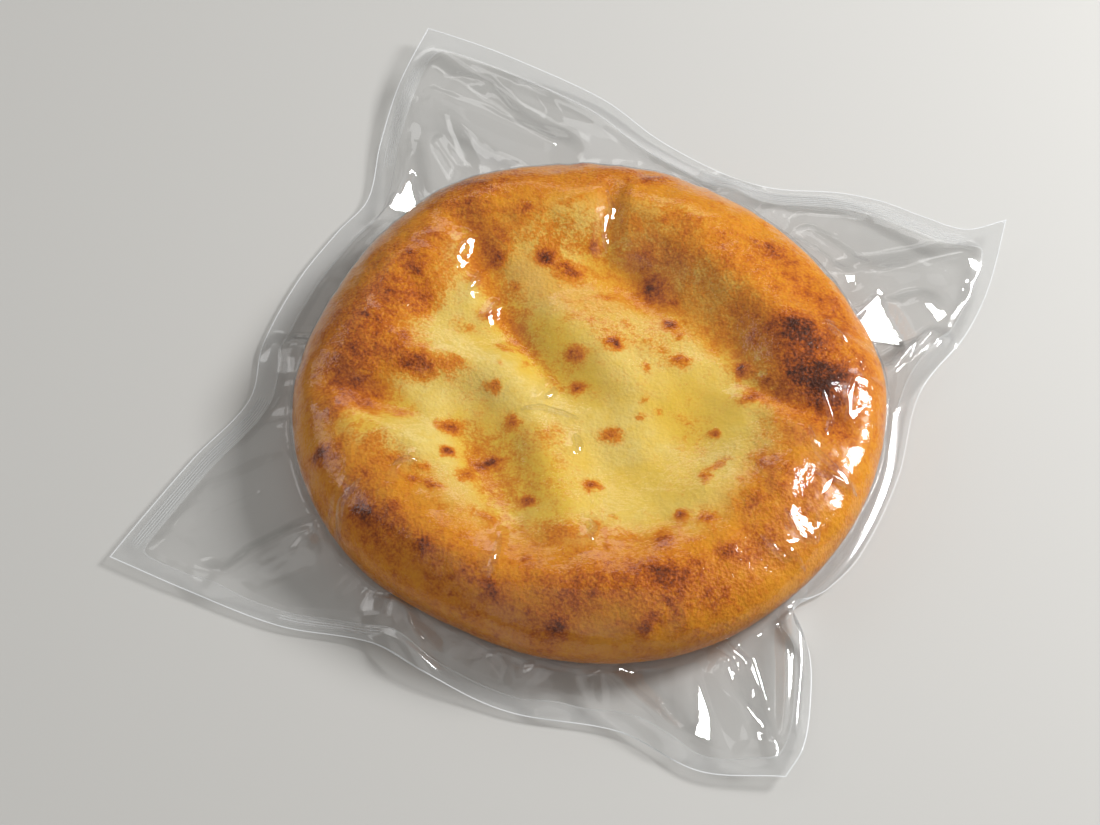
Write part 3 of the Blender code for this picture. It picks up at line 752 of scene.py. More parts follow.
@dataclass(frozen=True)
class PouchFilm:
    """Clear coextruded PA and PE film, 80 micrometres thick.

    The film is glass-clear with hard, sharp highlights, and darkens where it is seen edge-on.
    Where the vacuum presses it into the crust's grain, its highlights break up into glints.
    """

    name: str = "clear PA PE film"
    clearness: float = 0.975
    steep_clearness: float = 0.78
    gloss_roughness: float = 0.06
    straight_reflection: float = 0.075  # a film's two faces of index 1.5 together
    wetted_reflection: float = 0.036  # its outer face alone, where fat wets the inner one
    grain: float = 2.4 * MM
    grain_height: float = 0.34 * MM

    def sheen(
        self, tree: bpy.types.NodeTree, normal: bpy.types.NodeSocket,
        wetted: bpy.types.NodeSocket | float = 0.0,
    ) -> bpy.types.NodeSocket:
        """Mix what passes through the film with what it reflects, alike on both its faces.

        Args:
            tree: the material's nodes.
            normal: the film's bumped normal.
            wetted: how far the crust's fat wets its inner face, from 0 to 1.

        Returns:
            The film's shader output.
        """
        facing = add_node(tree, "LayerWeight", {"Blend": 0.5, "Normal": normal}, output="Facing")
        clear = add_node(
            tree, "MapRange",
            {"Value": facing, "From Min": 0.3, "To Min": self.clearness,
             "To Max": self.steep_clearness},
        )
        steep = add_node(tree, "Math", {0: facing, 1: 5.0}, operation="POWER")
        straight = add_node(
            tree, "MapRange",
            {"Value": wetted, "To Min": self.straight_reflection, "To Max": self.wetted_reflection},
        )
        reflected = add_node(
            tree, "Math", {0: steep, 1: 1.0 - self.straight_reflection, 2: straight},
            operation="MULTIPLY_ADD",
        )
        through = add_node(tree, "BsdfTransparent", {"Color": clear})
        shine = add_node(
            tree, "BsdfGlossy",
            {"Color": (1.0, 1.0, 1.0, 1.0), "Roughness": self.gloss_roughness, "Normal": normal},
            distribution="GGX",
        )
        return add_node(tree, "MixShader", {0: reflected, 1: through, 2: shine})

    def surface(self, tree: bpy.types.NodeTree) -> bpy.types.NodeSocket:
        """Add the nodes of the film's surface.

        Args:
            tree: the material's nodes.

        Returns:
            The shader output.
        """
        place = add_node(tree, "TexCoord", output="Object")
        clinging = add_node(tree, "Attribute", output="Fac", attribute_name="clinging")
        grain = add_node(
            tree, "TexNoise",
            {"Vector": place, "Scale": 1.0 / self.grain, "Detail": 2.0, "Roughness": 0.55},
        )
        normal = add_node(
            tree, "Bump", {"Strength": clinging, "Distance": self.grain_height, "Height": grain}
        )
        return self.sheen(tree, normal, clinging)

    def material(self) -> bpy.types.Material:
        """Make the material.

        Returns:
            The material.
        """
        material = bpy.data.materials.new(self.name)
        material.use_nodes = True
        tree = material.node_tree
        tree.nodes.remove(tree.nodes["Principled BSDF"])
        tree.links.new(self.surface(tree), tree.nodes["Material Output"].inputs["Surface"])
        return material


@dataclass(frozen=True)
class SealBand(PouchFilm):
    """The same film where two layers were fused by a heated bar and then cut.

    The band is a little cloudy. The weld's inner line, the crests of the bar's fine ribs and the
    cut edge get painted highlights: white lines where they would catch the light.
    """

    name: str = "heat-sealed PA PE film"
    gloss_roughness: float = 0.12
    haze_and_highlight: str = "#F2F5F7"
    seal_haze: float = 0.06
    # Painted highlights: shares of white on the weld's inner line, the cut edge and the rib crests.
    weld_line_highlight: float = 0.10
    cut_edge_highlight: float = 0.50
    cut_width: float = 0.42  # mm
    line_width: float = 0.035  # as a share of the weld's width
    rib_pitch: float = 1.1  # mm, drawn coarser than the real 0.8 so that single ribs show
    rib_height: float = 0.09 * MM
    rib_crest_highlight: float = 0.22

    def surface(self, tree: bpy.types.NodeTree) -> bpy.types.NodeSocket:
        """Add the nodes of the band's surface.

        Args:
            tree: the material's nodes.

        Returns:
            The shader output.
        """
        edge, weld, ribbed = (
            add_node(tree, "Attribute", output="Fac", attribute_name=mark)
            for mark in ("edge", "weld", "ribbed")
        )
        in_band = add_node(tree, "Math", {0: weld, 1: 1.0}, operation="LESS_THAN")
        on_line = add_node(tree, "Math", {0: weld, 1: 1.0, 2: self.line_width}, operation="COMPARE")
        on_cut = add_node(tree, "Math", {0: edge, 1: self.cut_width}, operation="LESS_THAN")
        turn = 2.0 * math.pi / self.rib_pitch
        wave = add_node(tree, "Math", {0: edge, 1: turn}, operation="MULTIPLY")
        wave = add_node(tree, "Math", {0: wave}, operation="SINE")
        ribs = add_node(tree, "Math", {0: wave, 1: ribbed}, operation="MULTIPLY")
        crest = add_node(tree, "MapRange", {"Value": ribs, "From Min": 0.2, "From Max": 0.8})
        bump = {"Strength": 1.0, "Distance": self.rib_height, "Height": ribs}
        film = self.sheen(tree, add_node(tree, "Bump", bump))
        # White mixed in: real cloudiness over the band, and painted highlights on rib crests, weld
        # line and cut edge.
        haze_and_highlight_share = 0.0
        for place, haze_and_highlight in (
            (in_band, self.seal_haze), (crest, self.rib_crest_highlight),
            (on_line, self.weld_line_highlight), (on_cut, self.cut_edge_highlight),
        ):
            haze_and_highlight_share = add_node(tree, "Math", {0: place, 1: haze_and_highlight, 2: haze_and_highlight_share}, operation="MULTIPLY_ADD")
        haze_and_highlight_shader = add_node(tree, "BsdfDiffuse", {"Color": linear(self.haze_and_highlight)})
        return add_node(tree, "MixShader", {0: haze_and_highlight_share, 1: film, 2: haze_and_highlight_shader})


@dataclass
class Khachapuri:
    """The bread: a broad rim round a soft, uneven middle of cheese."""

    radius: float = 120.0 * MM
    girth_height: float = 14.0 * MM
    rim_height: float = 33.0 * MM
    crown_radius: float = 92.0 * MM
    middle_height: float = 26.0 * MM
    middle_radius: float = 42.0 * MM
    base_radius: float = 106.0 * MM
    base_height: float = 0.9 * MM
    crust_wave: float = 22.0 * MM
    crust_rise: float = 0.8 * MM
    bend_wave: float = 30.0 * MM  # how the humps and hollows wander
    crust_bend: float = 3.0 * MM
    puff_rise: float = 0.60  # mm, as are the next three
    bubble_rise: float = 0.26
    small_bubble_rise: float = 0.12
    grain_rise: float = 0.13
    rim_start: float = 58.0  # mm from the middle, where the rim's browning begins
    rim_run: float = 34.0  # mm from there to where it is full
    cheese_end: float = 66.0  # mm from the middle, where the cheese begins to thin out
    cheese_run: float = 26.0
    side_top: float = 22.0  # mm above the table, where the crust's side begins
    side_run: float = 12.0
    middle_toast: float = 0.07  # of 1, as are the next ones
    rim_toast: float = 0.17
    broad_toast: float = 0.09
    patchy_toast: float = 0.12
    spotty_toast: float = 0.10
    # Placed toast includes rows of painted warm shade.
    placed_toast_and_shade: float = 0.74
    # The side's toast is partly real browning, partly painted shade that darkens the side.
    side_toast_and_shade: float = 0.40
    hump_toast: float = 0.012  # for each mm of height
    # Painted warm shade: toast added for each mm of a hollow's depth darkens and warms the colour
    # where the crust lies low.
    painted_hollow_shade: float = 0.085  # for each mm of depth
    cells: int = 286
    lower_rings: int = 10
    finish: BakedCrust = BakedCrust()

    def growth(self, azimuth: np.ndarray) -> np.ndarray:
        """How far the girth stands out from a circle.

        Args:
            azimuth: directions from the middle, in radians.

        Returns:
            Distances in metres.
        """
        growth = np.zeros_like(azimuth)
        for swelling in SWELLINGS:
            turned = (np.degrees(azimuth) - swelling.azimuth + 180.0) % 360.0 - 180.0
            growth += swelling.outward * np.exp(-((turned / swelling.half_angle) ** 2))
        return growth * MM

    def relief(self, x: np.ndarray, y: np.ndarray, hollow_share: float) -> np.ndarray:
        """How far the crust stands above or below the plain bread.

        Args:
            x: places in metres.
            y: places in metres.
            hollow_share: how much of the depth of narrow hollows to follow.

        Returns:
            Heights in metres.
        """
        narrow = 9.0
        height = self.crust_rise * wavy(flat_places(x, y), self.crust_wave)
        bent_x, bent_y = bent(x, y, self.bend_wave, self.crust_bend, 7.0)
        shares = oval_share(RELIEFS, bent_x / MM, bent_y / MM)
        for oval, share in zip(RELIEFS, shares):
            follow = hollow_share if oval.amount < 0.0 and oval.half_width < narrow else 1.0
            height += oval.amount * follow * MM * share
        return height

    def top_points(
        self, azimuth: np.ndarray, reach: np.ndarray, hollow_share: float = 1.0
    ) -> np.ndarray:
        """Points of the upper side.

        Args:
            azimuth: directions from the middle, in radians.
            reach: 0 at the middle and 1 at the girth.
            hollow_share: how much of the depth of narrow hollows to follow.

        Returns:
            Points in metres.
        """
        shoulder_width = self.radius - self.crown_radius
        shoulder_drop = self.rim_height - self.girth_height
        shoulder_arc = math.pi / 4.0 * (shoulder_width + shoulder_drop)
        path = reach * (self.crown_radius + shoulder_arc)
        angle = np.clip((path - self.crown_radius) / shoulder_arc, 0.0, 1.0) * math.pi / 2.0
        shoulder = path > self.crown_radius
        radius = np.where(shoulder, self.crown_radius + shoulder_width * np.sin(angle), path)
        climb = (radius - self.middle_radius) / (self.crown_radius - self.middle_radius)
        plain = self.middle_height + (self.rim_height - self.middle_height) * smooth_step(climb)
        height = np.where(shoulder, self.girth_height + shoulder_drop * np.cos(angle), plain)
        radius = radius + self.growth(azimuth) * (radius / self.radius) ** 2
        x = radius * np.cos(azimuth)
        y = radius * np.sin(azimuth)
        height = height + np.cos(angle) * self.relief(x, y, hollow_share)
        return np.stack([x, y, height], axis=1)

    def lower_ring(self, azimuth: np.ndarray, turn: float, clearance: float) -> np.ndarray:
        """A ring at a distance from the lower side.

        Args:
            azimuth: directions from the middle, in radians.
            turn: 0 at the girth and 1 at the base.
            clearance: the distance in metres.

        Returns:
            Points in metres.
        """
        angle = turn * math.pi / 2.0
        width = self.radius - self.base_radius
        drop = self.girth_height - self.base_height
        outward = Vector((drop * math.cos(angle), -width * math.sin(angle))).normalized()
        radius = self.base_radius + width * math.cos(angle) + outward.x * clearance
        height = self.girth_height - drop * math.sin(angle) + outward.y * clearance
        grown = radius + self.growth(azimuth) * (radius / self.radius) ** 2
        level = np.full_like(azimuth, height)
        return np.stack([grown * np.cos(azimuth), grown * np.sin(azimuth), level], axis=1)

    def blister_height(self, x: np.ndarray, y: np.ndarray) -> np.ndarray:
        """Height of the toasted blisters.

        Args:
            x: places in mm.
            y: places in mm.

        Returns:
            Heights in metres.
        """
        steepness = 0.11
        highest = 0.6
        height = np.zeros_like(x)
        for oval, share in zip(BLISTERS, oval_share(BLISTERS, x, y)):
            rise = min(steepness * oval.half_width, highest) * min(oval.amount * 1.2, 1.0)
            height = np.maximum(height, rise * share)
        return height * MM

    def marks(self, points: np.ndarray) -> dict[str, np.ndarray]:
        """Where the crust has gone brown, is cheesy and is buttered, painted warm shade included.

        Args:
            points: its points in metres.

        Returns:
            For each mark, one value a point.
        """
        places = points / MM
        ragged_x = places[:, 0] + 2.2 * wavy(places, 7.0, 11.0) + 0.9 * wavy(places, 2.6, 12.0)
        ragged_y = places[:, 1] + 2.2 * wavy(places, 7.0, 21.0) + 0.9 * wavy(places, 2.6, 22.0)
        radius = np.hypot(ragged_x, ragged_y)
        broad = wavy(places, 26.0, 31.0)
        rim = smooth_step((radius + 7.0 * broad - self.rim_start) / self.rim_run)
        toast_and_warm_shade = self.middle_toast + self.rim_toast * rim + self.broad_toast * broad
        toast_and_warm_shade += self.patchy_toast * wavy(places, 11.0, 41.0) * (0.5 + 0.5 * rim)
        stand = self.relief(points[:, 0], points[:, 1], 1.0) / MM
        # Toast added for the hollow depth below is painted warm shade.
        hollow = np.clip(-0.6 - stand, 0.0, 2.4)
        toast_and_warm_shade += self.hump_toast * stand + self.painted_hollow_shade * hollow
        # The placed rows include painted warm shade.
        for oval, share in zip(BROWNED_AND_WARM_SHADE, oval_share(BROWNED_AND_WARM_SHADE, ragged_x, ragged_y)):
            toast_and_warm_shade += self.placed_toast_and_shade * oval.amount * share
        spots = smooth_step((wavy(places, 4.2, 45.0) - 0.15) / 0.4)
        toast_and_warm_shade += self.spotty_toast * spots * (0.2 + 0.8 * rim)
        # Side toast: partly real browning, partly painted shade darkening the side.
        side = smooth_step((self.side_top - places[:, 2]) / self.side_run)
        toast_and_warm_shade = np.clip(toast_and_warm_shade * (1.0 - side) + self.side_toast_and_shade * side, 0.0, 1.0)
        for oval, share in zip(BLISTERS, oval_share(BLISTERS, ragged_x, ragged_y)):
            darkness = oval.amount * (0.56 + 0.36 * oval.amount)
            toast_and_warm_shade += np.maximum(darkness - toast_and_warm_shade, 0.0) * share
        cheese = 1.0 - smooth_step((radius + 9.0 * broad - self.cheese_end) / self.cheese_run)
        for oval, share in zip(CHEESY, oval_share(CHEESY, ragged_x, ragged_y)):
            goal = 1.0 if oval.amount > 0.0 else 0.0
            cheese += (goal - cheese) * abs(oval.amount) * smooth_step(share * 1.5)
        # Butter colour in hollows is painted warm shade.
        butter_and_warm_shade = 0.7 * smooth_step(hollow / 1.8)
        ragged_edge = 0.22 * wavy(places, 6.0, 35.0) - 0.1
        for oval, share in zip(BUTTER_AND_WARM_SHADE, oval_share(BUTTER_AND_WARM_SHADE, ragged_x, ragged_y)):
            butter_and_warm_shade = np.maximum(butter_and_warm_shade, oval.amount * smooth_step(share * 1.3 + ragged_edge))
        return {"toast_and_warm_shade": toast_and_warm_shade, "cheese": cheese, "butter_and_warm_shade": butter_and_warm_shade}

    def build(self) -> bpy.types.Object:
        """Model the bread.

        Returns:
            The piece.
        """
        grid = RoundGrid(self.cells)
        azimuth = grid.turn * math.pi / 2.0
        rings = [self.top_points(azimuth, grid.reach)]
        for ring in range(1, self.lower_rings + 1):
            rings.append(self.lower_ring(azimuth[grid.rim], ring / self.lower_rings, 0.0))
        points = np.concatenate(rings)
        quads = grid.all_quads(self.lower_rings)
        marks = self.marks(points)
        stand = self.soft_texture(points) + self.grain(points, marks)
        points += point_normals(points, quads) * stand[:, None]
        last = np.arange(len(points) - len(grid.rim), len(points))
        points[last, 2] = self.base_height
        points = np.concatenate([points, [[0.0, 0.0, self.base_height]]])
        middle = len(points) - 1
        faces = quads.tolist()
        faces += [[a, middle, b] for a, b in zip(last.tolist(), np.roll(last, -1).tolist())]
        marks = {name: np.append(values, 0.0) for name, values in marks.items()}
        return mesh_piece("khachapuri_crust", points, faces, marks)

    def soft_texture(self, points: np.ndarray) -> np.ndarray:
        """How far puffs and bubbles stand off the plain crust, where film can follow them.

        Args:
            points: the plain crust's points in metres.

        Returns:
            Distances in metres.
        """
        places = points / MM
        puffs = self.puff_rise * wavy(places, 13.0, 51.0)
        bubbles = self.bubble_rise * wavy(places, 6.5, 55.0)
        bubbles += self.small_bubble_rise * wavy(places, 3.4, 61.0)
        radius = np.hypot(places[:, 0], places[:, 1])
        calm = 0.55 + 0.45 * smooth_step((radius - 50.0) / 30.0)
        above_girth = smooth_step((places[:, 2] - 12.0) / 10.0)
        blisters = self.blister_height(places[:, 0], places[:, 1])
        return ((puffs + bubbles) * calm * MM + blisters) * (0.25 + 0.75 * above_girth)

    def grain(self, points: np.ndarray, marks: Mapping[str, np.ndarray]) -> np.ndarray:
        """How far the crust's finest bubbles stand off it.

        Args:
            points: the crust's points in metres.
            marks: where it has gone brown and is buttered, painted warm shade included.

        Returns:
            Distances in metres.
        """
        places = points / MM
        finest = self.grain_rise * wavy(places, 2.0, 71.0) + 0.06 * wavy(places, 3.0, 75.0)
        return finest * (0.45 + marks["toast_and_warm_shade"]) * (1.0 - 0.8 * marks["butter_and_warm_shade"]) * MM

    def dress(self) -> None:
        """Build the bread and set it in the frame."""
        place_piece(self.build(), "khachapuri", [self.finish])


AWAY_FROM_SEAL = {"edge": 99.0, "weld": 9.0, "ribbed": 0.0}  # marks of a film's inner points


@dataclass
class VacuumPouch:
    """The pouch: two films, welded round the edge and drawn tight on the bread."""

    bread: Khachapuri
    film: PouchFilm = PouchFilm()
    band: SealBand = SealBand()
    band_reach: float = 1.35  # in welds from the cut edge, past the weld's inner line
    cells: int = 184
    skirt_rings: int = 8
    flange_rings: int = 48
    back_wall_rings: int = 5
    back_flange_rings: int = 24
    cling: float = 0.34 * MM  # from the soft crust to the film, just over its finest bubbles
    wall_top: float = 7.0 * MM
    edge_height: float = 2.0 * MM
    lowest_flange: float = 0.8 * MM
    floor_height: float = 0.05 * MM
    layer_gap: float = 0.15 * MM
    open_gap: float = 0.8 * MM  # between the films inside the weld
    taut_gap: float = 0.3 * MM  # and where they are pulled taut
    back_crumple: float = 0.35  # how much of the front film's creases the back one has
    lowest_back: float = 0.4 * MM
    sheet_thickness: float = 0.5 * MM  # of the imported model's flange
    skirt_reach: float = 3.5 * MM  # how far out from the girth the front flange starts
    crumple_rise: float = 1.9  # mm, as are the next two
    small_crumple_rise: float = 0.8
    pleat_rise: float = 1.2
    crease_gain: float = 1.3
    facet_rise: float = 1.5  # mm
    pinch_width: float = 1.7 * MM  # half of a pinched fold's
    pinch_rise: float = 0.9 * MM

    def outline(self) -> np.ndarray:
        """Lay the cut edge out.

        Returns:
            Points in metres, counter-clockwise from the far corner.
        """
        names = list(CORNERS)
        rows = []
        for index, name in enumerate(names):
            start = np.array(CORNERS[name])
            along = np.array(CORNERS[names[(index + 1) % len(names)]]) - start
            outward = np.array([-along[1], along[0]]) / np.linalg.norm(along)
            fractions = np.arange(self.cells) / self.cells
            offsets = np.array([self.side_offset(SIDES[name], at) for at in fractions])
            rows.append(start + fractions[:, None] * along + offsets[:, None] * outward)
        clockwise = np.concatenate(rows) * MM
        return np.roll(clockwise[::-1], 1, axis=0)

    @staticmethod
    def side_offset(points: Sequence[tuple[float, float]], at: float) -> float:
        """The offset at a place along a smooth curve through (place, offset) points.

        Args:
            points: the points.
            at: the place.

        Returns:
            The offset.
        """
        last = len(points) - 1
        index = 0
        while index < last - 1 and at > points[index + 1][0]:
            index += 1

        def slope(i: int) -> float:
            """The curve's slope at one of its points.

            Args:
                i: the point's number.

            Returns:
                The slope.
            """
            before = points[max(i - 1, 0)]
            after = points[min(i + 1, last)]
            return (after[1] - before[1]) / (after[0] - before[0])

        (x0, y0), (x1, y1) = points[index], points[index + 1]
        span = x1 - x0
        t = (at - x0) / span
        bend = slope(index) * t * (1.0 - t) ** 2 - slope(index + 1) * t * t * (1.0 - t)
        level = y0 * (1.0 + 2.0 * t) * (1.0 - t) ** 2 + y1 * t * t * (3.0 - 2.0 * t)
        return level + bend * span

    def side_distances(self, x: np.ndarray, y: np.ndarray) -> dict[str, np.ndarray]:
        """How far places are from each side of the cut edge.

        Args:
            x: places in mm.
            y: places in mm.

        Returns:
            For each side's name, distances in mm and how far along the side, from 0 to 1.
        """
        edge = self.outline() / MM
        clockwise = np.roll(edge[::-1], 1, axis=0)
        clockwise = np.concatenate([clockwise, clockwise[:1]])
        found = {}
        for index, name in enumerate(CORNERS):
            line = clockwise[index * self.cells:(index + 1) * self.cells + 1]
            nearest = np.full_like(x, np.inf)
            along = np.zeros_like(x)
            for step in range(self.cells):
                (x0, y0), (x1, y1) = line[step], line[step + 1]
                distance = fold_distance(Fold(x0, y0, x1, y1, 0.0, 0.0), x, y)
                closer = distance < nearest
                nearest = np.where(closer, distance, nearest)
                along = np.where(closer, step / self.cells, along)
            found[name] = (nearest, along)
        return found

    def marks(self, points: np.ndarray) -> dict[str, np.ndarray]:
        """Where the film is cut, welded and ribbed.

        Args:
            points: its points in metres.

        Returns:
            For each mark one value a point: edge is mm from the cut, weld is 1 on the weld's inner
            line and less outside it, and ribbed is a share.
        """
        corner_rounding = 0.28
        fade_along = 0.015  # of a side, at both ends of a ribbed stretch
        fade_across = 0.8  # mm, at both its edges
        smooth_rim = 2.4  # mm, from the cut edge to the first rib
        smooth_gap = 0.4  # mm, from the last rib to the weld's inner line
        sides = self.side_distances(points[:, 0] / MM, points[:, 1] / MM)
        edge = np.min([distance for distance, _ in sides.values()], axis=0)
        nearness = sum(
            np.exp(-distance / WELD_INSETS[name] / corner_rounding)
            for name, (distance, _) in sides.items()
        )
        weld = -corner_rounding * np.log(np.maximum(nearness, 1e-9))
        ribbed = np.zeros_like(edge)
        for field in RIB_FIELDS:
            distance, along = sides[field.side]
            last_rib = WELD_INSETS[field.side] - smooth_gap
            inside = smooth_step((along - field.start) / fade_along)
            inside *= smooth_step((field.end - along) / fade_along)
            inside *= smooth_step((distance - smooth_rim) / fade_across)
            inside *= smooth_step((last_rib - distance) / fade_across)
            ribbed = np.maximum(ribbed, inside)
        return {"edge": edge, "weld": weld, "ribbed": ribbed}

    def base_height(self, x: np.ndarray, y: np.ndarray, inward: np.ndarray) -> np.ndarray:
        """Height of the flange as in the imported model.

        Args:
            x: places in mm.
            y: places in mm.
            inward: 1 at the bread and 0 at the edge.

        Returns:
            Heights in metres.
        """
        height = self.edge_height + (self.wall_top - self.edge_height) * inward * inward
        loose = np.minimum(6.4 * (1.0 - inward) * inward, 1.0)
        folded = np.zeros_like(x)
        for fold in FOLDS:
            folded += fold.rise * smooth_step(1.0 - fold_distance(fold, x, y) / fold.half_width)
        height = height + folded * loose * MM
        for lift in LIFTS:
            away = np.hypot(x - lift.x, y - lift.y) / lift.half_width
            height = height + lift.rise * MM * np.exp(-away * away) * (1.0 - inward)
        return np.maximum(height, self.lowest_flange)

    def crumple(self, points: np.ndarray, marks: Mapping[str, np.ndarray]) -> np.ndarray:
        """How far creases and crumples lift the flange.

        Args:
            points: places of the flange in metres.
            marks: where the film is cut and welded.

        Returns:
            Heights in metres.
        """
        x = points[:, 0] / MM
        y = points[:, 1] / MM
        bent_x, bent_y = bent(x, y, 30.0, 7.0, 81.0)
        free = smooth_step((marks["weld"] - 0.9) / 0.7)
        crumples = self.crumple_rise * facets(bent_x, bent_y, 26.0, seed=4)
        turned = (bent_x + bent_y, bent_y - bent_x)
        crumples += self.small_crumple_rise * facets(*turned, 17.0, seed=9)
        girth = self.bread.radius / MM
        radius = np.hypot(x, y)
        on_girth = flat_places(x, y) / radius[:, None] * girth
        pleats = 1.0 - 2.0 * np.abs(wavy(on_girth, 9.0, 101.0))
        pleats += 0.5 - np.abs(wavy(on_girth, 4.0, 105.0))
        pleats = np.clip(pleats, 0.0, 1.0) * np.exp((girth - radius) / 16.0)
        creases = crease_height(FLANGE_CREASES, x, y)
        raised = crumples + self.pleat_rise * pleats + self.crease_gain * creases
        return raised * free * MM

    def pull_taut(self, block: np.ndarray, clearance: float) -> None:
        """Flatten the taut stretches of a flange.

        Args:
            block: the flange's points in metres, whose heights change.
            clearance: how far below the front film this one runs, in metres.
        """
        edge_width = 3.0
        edge_reach = 0.7  # how much of that edge lies outside the corners
        x = block[:, 0] / MM
        y = block[:, 1] / MM
        for taut in TAUT:
            corners = np.array(taut.corners)
            inside = np.full_like(x, np.inf)
            for (x0, y0), (x1, y1) in zip(corners, np.roll(corners, -1, axis=0)):
                area = (x1 - x0) * (y - y0) - (y1 - y0) * (x - x0)
                inside = np.minimum(inside, area / math.hypot(x1 - x0, y1 - y0))
            middle = corners.mean(axis=0)
            azimuth = math.radians(taut.azimuth)
            out = (x - middle[0]) * math.cos(azimuth) + (y - middle[1]) * math.sin(azimuth)
            level = np.maximum((taut.level - taut.fall * out) * MM, self.lowest_flange)
            flat = smooth_step(inside / edge_width + edge_reach)
            block[:, 2] += (level - clearance - block[:, 2]) * flat

    def flange(
        self, root: np.ndarray, start: np.ndarray, edge: np.ndarray, ring_count: int
    ) -> np.ndarray:
        """Lay a film's flange out from the bread to the cut edge.

        Args:
            root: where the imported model's flange leaves the bread.
            start: where this film's flange starts.
            edge: the cut edge.
            ring_count: how many rings follow the one at the start.

        Returns:
            Points in metres, ring after ring.
        """
        width = np.linalg.norm(edge - root, axis=1)
        rings = []
        for step in range(ring_count + 1):
            place = start + (edge - start) * step / ring_count
            inward = np.minimum(np.linalg.norm(edge - place, axis=1) / width, 1.0)
            height = self.base_height(place[:, 0] / MM, place[:, 1] / MM, inward)
            rings.append(np.column_stack([place, height + self.sheet_thickness]))
        return np.concatenate(rings)

    @staticmethod
    def azimuths(edge: np.ndarray) -> np.ndarray:
        """Directions of the edge's points from the middle, rising all the way round."""
        return np.unwrap(np.arctan2(edge[:, 1], edge[:, 0]))

    @staticmethod
    def padded(
        marks: Mapping[str, np.ndarray], before: int, after: int
    ) -> dict[str, np.ndarray]:
        """Add the marks of inner points to those of a flange.

        Args:
            marks: the flange's.
            before: how many inner points come before it.
            after: how many come after it.

        Returns:
            The marks of all the points.
        """
        return {
            name: np.pad(values, (before, after), constant_values=AWAY_FROM_SEAL[name])
            for name, values in marks.items()
        }

    def pinched_folds(self, film: np.ndarray) -> tuple[np.ndarray, list[list[int]]]:
        """Raise the narrow folds that stand on the clinging film.

        Args:
            film: points of the clinging film in metres.

        Returns:
            The folds' points, and their faces as numbers of those points.
        """
        spacing = 1.2 * MM
        reach = 1.3 * MM
        profile = ((-1.0, 0.0), (-0.45, 0.55), (0.0, 1.0), (0.45, 0.55), (1.0, 0.0))
        rows = []
        faces = []
        for corners in PINCHES:
            corners = np.array(corners) * MM
            lengths = np.append(0.0, np.cumsum(np.linalg.norm(np.diff(corners, axis=0), axis=1)))
            count = int(lengths[-1] / spacing) + 2
            along = np.linspace(0.0, lengths[-1], count)
            line = np.stack([np.interp(along, lengths, corners[:, axis]) for axis in (0, 1)], axis=1)
            for _ in range(2):
                line[1:-1] = (line[:-2] + 2.0 * line[1:-1] + line[2:]) / 4.0
            run = np.gradient(line, axis=0)
            aside = np.stack([run[:, 1], -run[:, 0]], axis=1)
            aside /= np.linalg.norm(aside, axis=1, keepdims=True)
            taper = np.sin(math.pi * along / lengths[-1]) ** 0.6
            for across, rise in profile:
                place = line + aside * (across * self.pinch_width * (0.25 + 0.75 * taper))[:, None]
                gap = np.linalg.norm(place[:, None] - film[None, :, :2], axis=2) / reach
                weight = np.exp(-gap * gap)
                level = weight @ film[:, 2] / weight.sum(axis=1)
                rows.append(np.column_stack([place, level + rise * self.pinch_rise * taper]))
            first = sum(len(row) for row in rows) - len(profile) * count
            for strip in range(len(profile) - 1):
                for step in range(count - 1):
                    near = first + strip * count + step
                    faces.append([near, near + count, near + count + 1, near + 1])
        return np.concatenate(rows), faces

    def tented(self, x: np.ndarray, y: np.ndarray) -> np.ndarray:
        """Height of the small flat facets of the film over the rim.

        Args:
            x: places in mm.
            y: places in mm.

        Returns:
            Heights in mm.
        """
        bent_x, bent_y = bent(x, y, 16.0, 3.0, 141.0)
        over_rim = smooth_step((np.hypot(x, y) - 78.0) / 14.0)
        to_the_right = smooth_step((x - 30.0) / 50.0)
        height = self.facet_rise * facets(bent_x + 0.4 * bent_y, bent_y, 11.0, seed=23)
        return height * over_rim * (0.25 + 0.75 * to_the_right)

    def clinging(self, crust: np.ndarray) -> np.ndarray:
        """How closely the film is pressed into the grain.

        Args:
            crust: points of the clinging film in metres.

        Returns:
            A share for each point.
        """
        places = crust / MM
        loose = smooth_step((wavy(places, 22.0, 131.0) - 0.15) / 0.25)
        shoulder = smooth_step((17.0 - places[:, 2]) / 4.0)
        creased = np.minimum(crease_height(CLINGING_CREASES, places[:, 0], places[:, 1]) * 2.5, 1.0)
        return (1.0 - 0.5 * loose) * (1.0 - 0.6 * shoulder) * (1.0 - creased)

    def wall_turn(self) -> float:
        """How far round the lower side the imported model's flange starts."""
        drop = self.bread.girth_height - self.bread.base_height
        return math.asin((self.bread.girth_height - self.wall_top) / drop) / (math.pi / 2.0)

